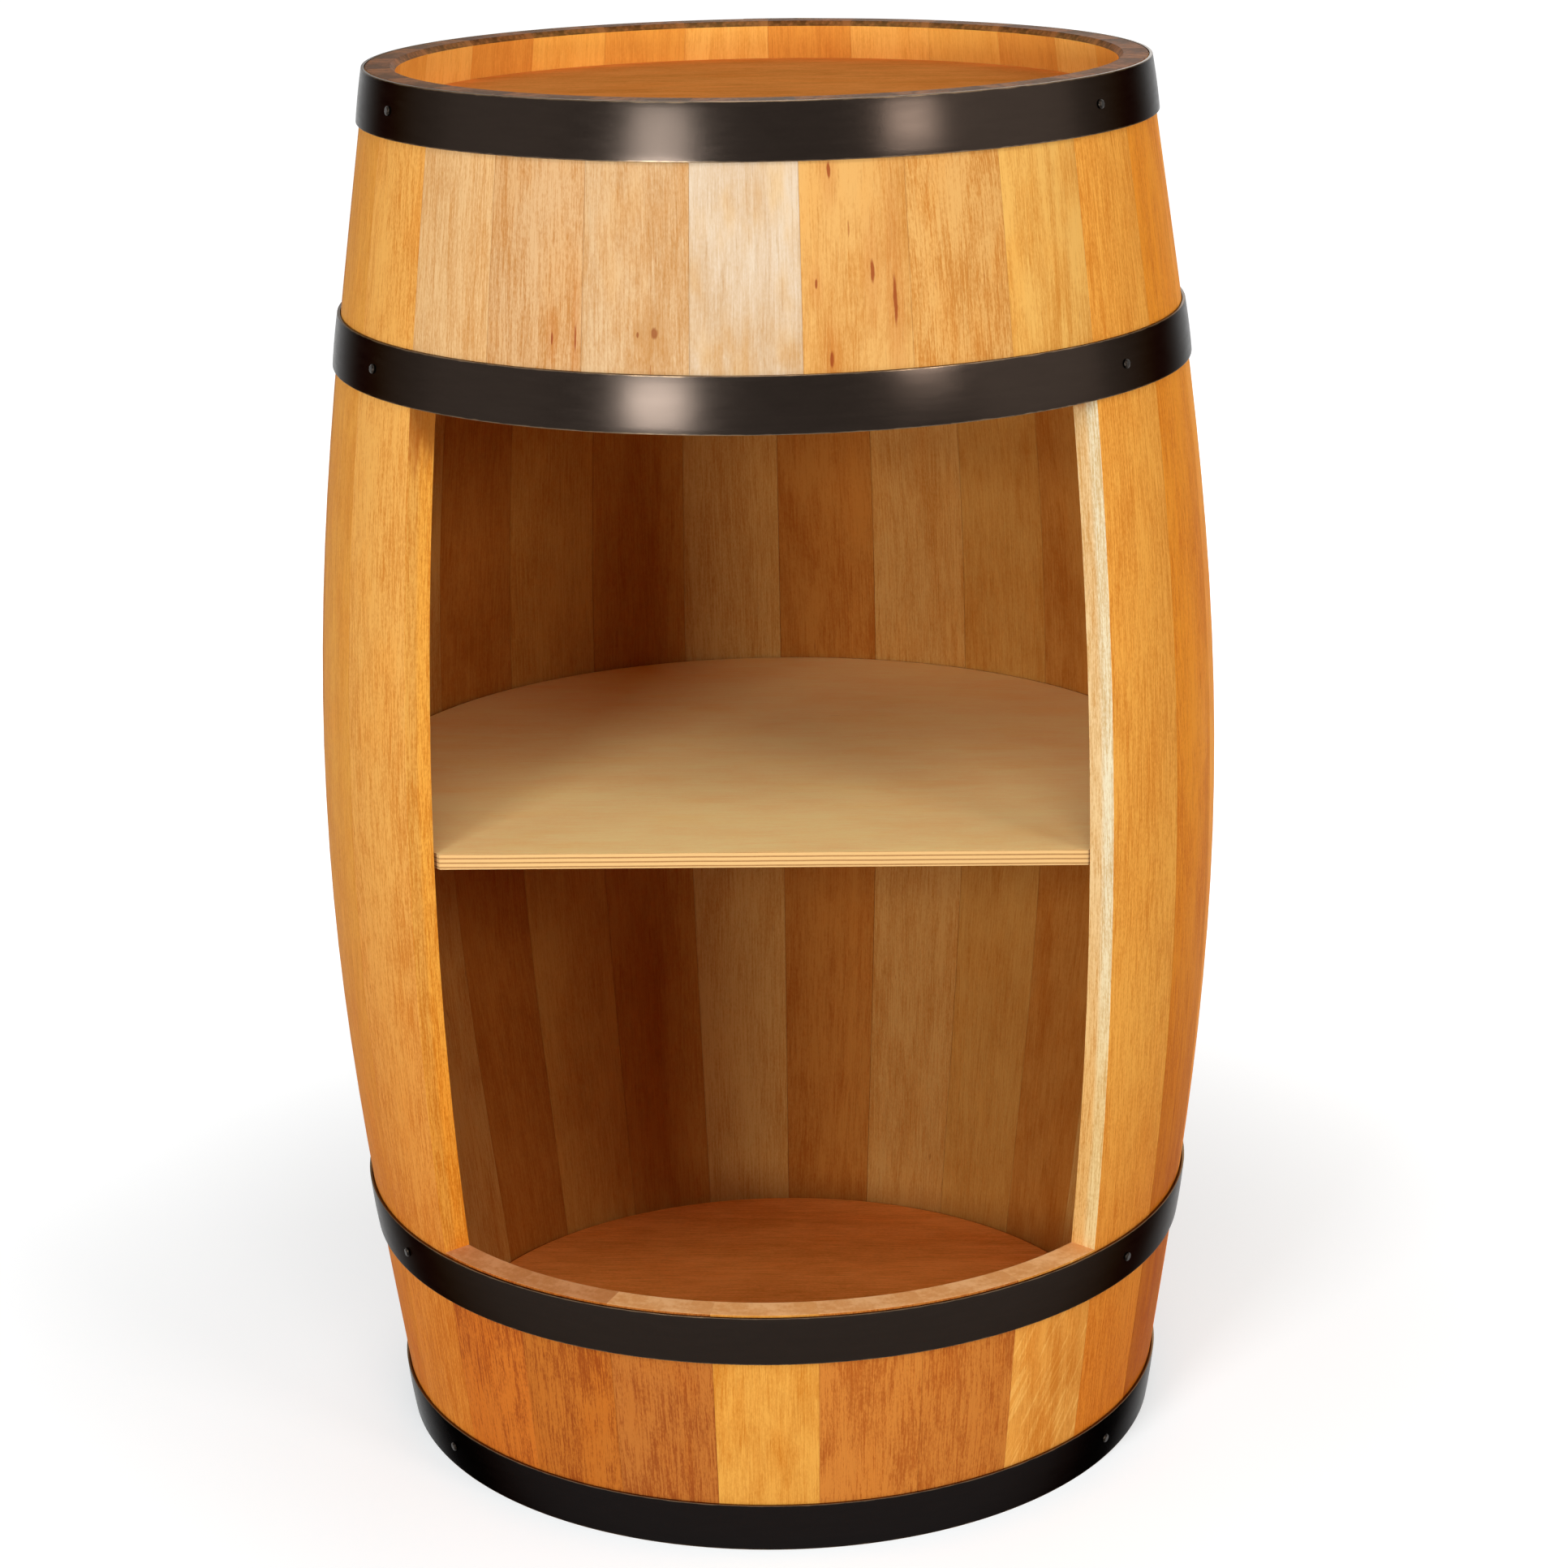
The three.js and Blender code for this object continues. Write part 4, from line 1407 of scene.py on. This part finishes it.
# The stage: floor, light and camera.
CAMERA_PLACE = Vector((71.5 * MM, -2048.8 * MM, 1018.9 * MM))
CAMERA_FORWARD = Vector((-0.02964, 0.95465, -0.29627))
CAMERA_RIGHT = Vector((0.99953, 0.02588, -0.01663))
CAMERA_UP = Vector((0.00821, 0.29663, 0.95496))
CAMERA_LENS = 82.88
CAMERA_SENSOR = 36.0
FLOOR_SIZE = 40.0
WHITE = (1, 1, 1, 1)
WORLD_TINT = (1.0, 0.985, 0.96, 1)
WORLD_STRENGTH = 0.16
FLOOR_GRIT = ((60, 60, 60), 3)
FLOOR_GRIT_SHARE = 0.03
FLOOR_GRIT_COLOUR = (0.6, 0.6, 0.6, 1)
FLOOR_ROUGHNESS = 0.9

# How the floor brightens away from the barrel, from the first distance to the second.
GLOW_DISTANCES = (0.3, 1.1)
GLOW_STRENGTHS = (0.52, 1.0)

# The lamps, all turned to the barrel's middle: place, size, power and tint.
COOL = (0.90, 0.97, 1.0)
WARM = (1.0, 0.98, 0.95)
LAMPS = {
    "key": ((-1.05, -2.35, 0.84), (0.66, 0.16), 31, COOL),
    "high_key": ((-1.05, -2.35, 1.23), (0.66, 0.16), 14, COOL),
    "fill": ((1.8, -1.9, 1.20), (0.60, 0.36), 16, WARM),
    "side": ((-2.6, -0.8, 1.5), (2.2, 2.6), 7, WARM),
    "right": ((2.6, -0.6, 1.5), (2.2, 2.6), 20, (1.0, 0.97, 0.92)),
    "back": ((0.6, 2.8, 1.8), (2.2, 2.2), 22, WARM),
    "top": ((0.1, -2.0, 2.6), (1.3, 1.0), 24, WARM),
}


def seen_share(tree):
    """1 for a ray from the camera, off a gloss or through a clear thing, and 0 for the others."""
    path = add_node(tree, "LightPath").outputs
    seen = calc(tree, "MAXIMUM", path["Is Camera Ray"], path["Is Transmission Ray"])
    return calc(tree, "MAXIMUM", seen, path["Is Glossy Ray"])


def floor_material():
    """A pale floor that the camera sees brighter, up to white far out, and that keeps the shadow."""
    material, tree, shader = new_material("floor_finish")
    grit = times(tree, noise(tree, object_place(tree), *FLOOR_GRIT), FLOOR_GRIT_SHARE)
    grey = blend_colour(tree, grit, colours().floor, FLOOR_GRIT_COLOUR)
    tree.links.new(grey, shader.inputs["Base Color"])
    shader.inputs["Roughness"].default_value = FLOOR_ROUGHNESS
    shader.inputs["Specular IOR Level"].default_value = 0.0
    shader.inputs["Emission Color"].default_value = WHITE
    away = add_node(tree, "VectorMath", {"operation": "LENGTH"}, {0: object_place(tree)}).outputs["Value"]
    glow = ramp(tree, away, *GLOW_DISTANCES, *GLOW_STRENGTHS)
    tree.links.new(times(tree, seen_share(tree), glow), shader.inputs["Emission Strength"])
    return material


def set_world():
    """Even light all round, and a white backdrop where the camera or a gloss sees it."""
    world = bpy.data.worlds.new("studio")
    bpy.context.scene.world = world
    world.use_nodes = True
    tree = world.node_tree
    light = tree.nodes["Background"]
    light.inputs["Color"].default_value = WORLD_TINT
    light.inputs["Strength"].default_value = WORLD_STRENGTH
    white = add_node(tree, "Background", inputs={"Color": WHITE, "Strength": 1.0})
    both = add_node(tree, "MixShader", inputs={
        0: seen_share(tree), 1: light.outputs[0], 2: white.outputs[0],
    })
    tree.links.new(both.outputs[0], tree.nodes["World Output"].inputs[0])


def add_lamp(name, place, size, power, tint):
    close_all()
    bpy.ops.object.light_add(type="AREA", location=place)
    lamp = bpy.context.object
    lamp.name = name
    way = Vector((0, 0, HEIGHT / 2)) - Vector(place)
    lamp.rotation_euler = way.to_track_quat("-Z", "Y").to_euler()
    lamp.data.shape = "RECTANGLE"
    lamp.data.size, lamp.data.size_y = size
    lamp.data.energy = power
    lamp.data.color = tint


def set_camera():
    close_all()
    bpy.ops.object.camera_add(location=CAMERA_PLACE)
    camera = bpy.context.object
    camera.name = "photo_view"
    turn = Matrix((CAMERA_RIGHT, CAMERA_UP, -CAMERA_FORWARD)).transposed().to_4x4()
    camera.matrix_world = Matrix.Translation(CAMERA_PLACE) @ turn
    camera.data.lens = CAMERA_LENS
    camera.data.sensor_width = CAMERA_SENSOR
    camera.data.sensor_fit = "AUTO"
    bpy.context.scene.camera = camera


class BARREL_OT_stage(bpy.types.Operator):
    """Set up the floor, the light and the camera"""

    bl_idname = "barrel.stage"
    bl_label = "Stage"

    def execute(self, context):
        close_all()
        bpy.ops.mesh.primitive_plane_add(size=FLOOR_SIZE, location=(0, 0, 0))
        floor = settle(bpy.context.object, "floor")
        floor.data.materials.append(floor_material())
        set_world()
        for name, settings in LAMPS.items():
            add_lamp(name, *settings)
        set_camera()
        context.scene.view_settings.view_transform = "Standard"
        return {"FINISHED"}


PIECES = (
    BARREL_OT_side_staves, BARREL_OT_upper_staves, BARREL_OT_lower_staves, BARREL_OT_hoops,
    BARREL_OT_nails, BARREL_OT_rivets, BARREL_OT_heads, BARREL_OT_shelf, BARREL_OT_cleats,
    BARREL_OT_stage,
)


class BARREL_PT_panel(bpy.types.Panel):
    """The barrel's sizes, colours and pieces"""

    bl_idname = "BARREL_PT_panel"
    bl_label = "Barrel bar cabinet"
    bl_space_type = "VIEW_3D"
    bl_region_type = "UI"
    bl_category = "Barrel"

    def draw(self, context):
        for group in (context.scene.barrel_sizes, context.scene.barrel_colours):
            for name in group.__annotations__:
                self.layout.prop(group, name)
        for piece in PIECES:
            self.layout.operator(piece.bl_idname)


CLASSES = (BarrelSizes, BarrelColours, *PIECES, BARREL_PT_panel)


def register():
    for kind in CLASSES:
        bpy.utils.register_class(kind)
    bpy.types.Scene.barrel_sizes = bpy.props.PointerProperty(type=BarrelSizes)
    bpy.types.Scene.barrel_colours = bpy.props.PointerProperty(type=BarrelColours)


def unregister():
    del bpy.types.Scene.barrel_sizes
    del bpy.types.Scene.barrel_colours
    for kind in reversed(CLASSES):
        bpy.utils.unregister_class(kind)


def main():
    register()
    build_grain_group()
    build_mark_group()
    build_edge_group()
    build_steel_group()
    bpy.ops.barrel.side_staves()
    bpy.ops.barrel.upper_staves()
    bpy.ops.barrel.lower_staves()
    bpy.ops.barrel.hoops()
    bpy.ops.barrel.nails()
    bpy.ops.barrel.rivets()
    bpy.ops.barrel.heads()
    bpy.ops.barrel.shelf()
    bpy.ops.barrel.cleats()
    bpy.ops.barrel.stage()


if __name__ == "__main__":
    main()
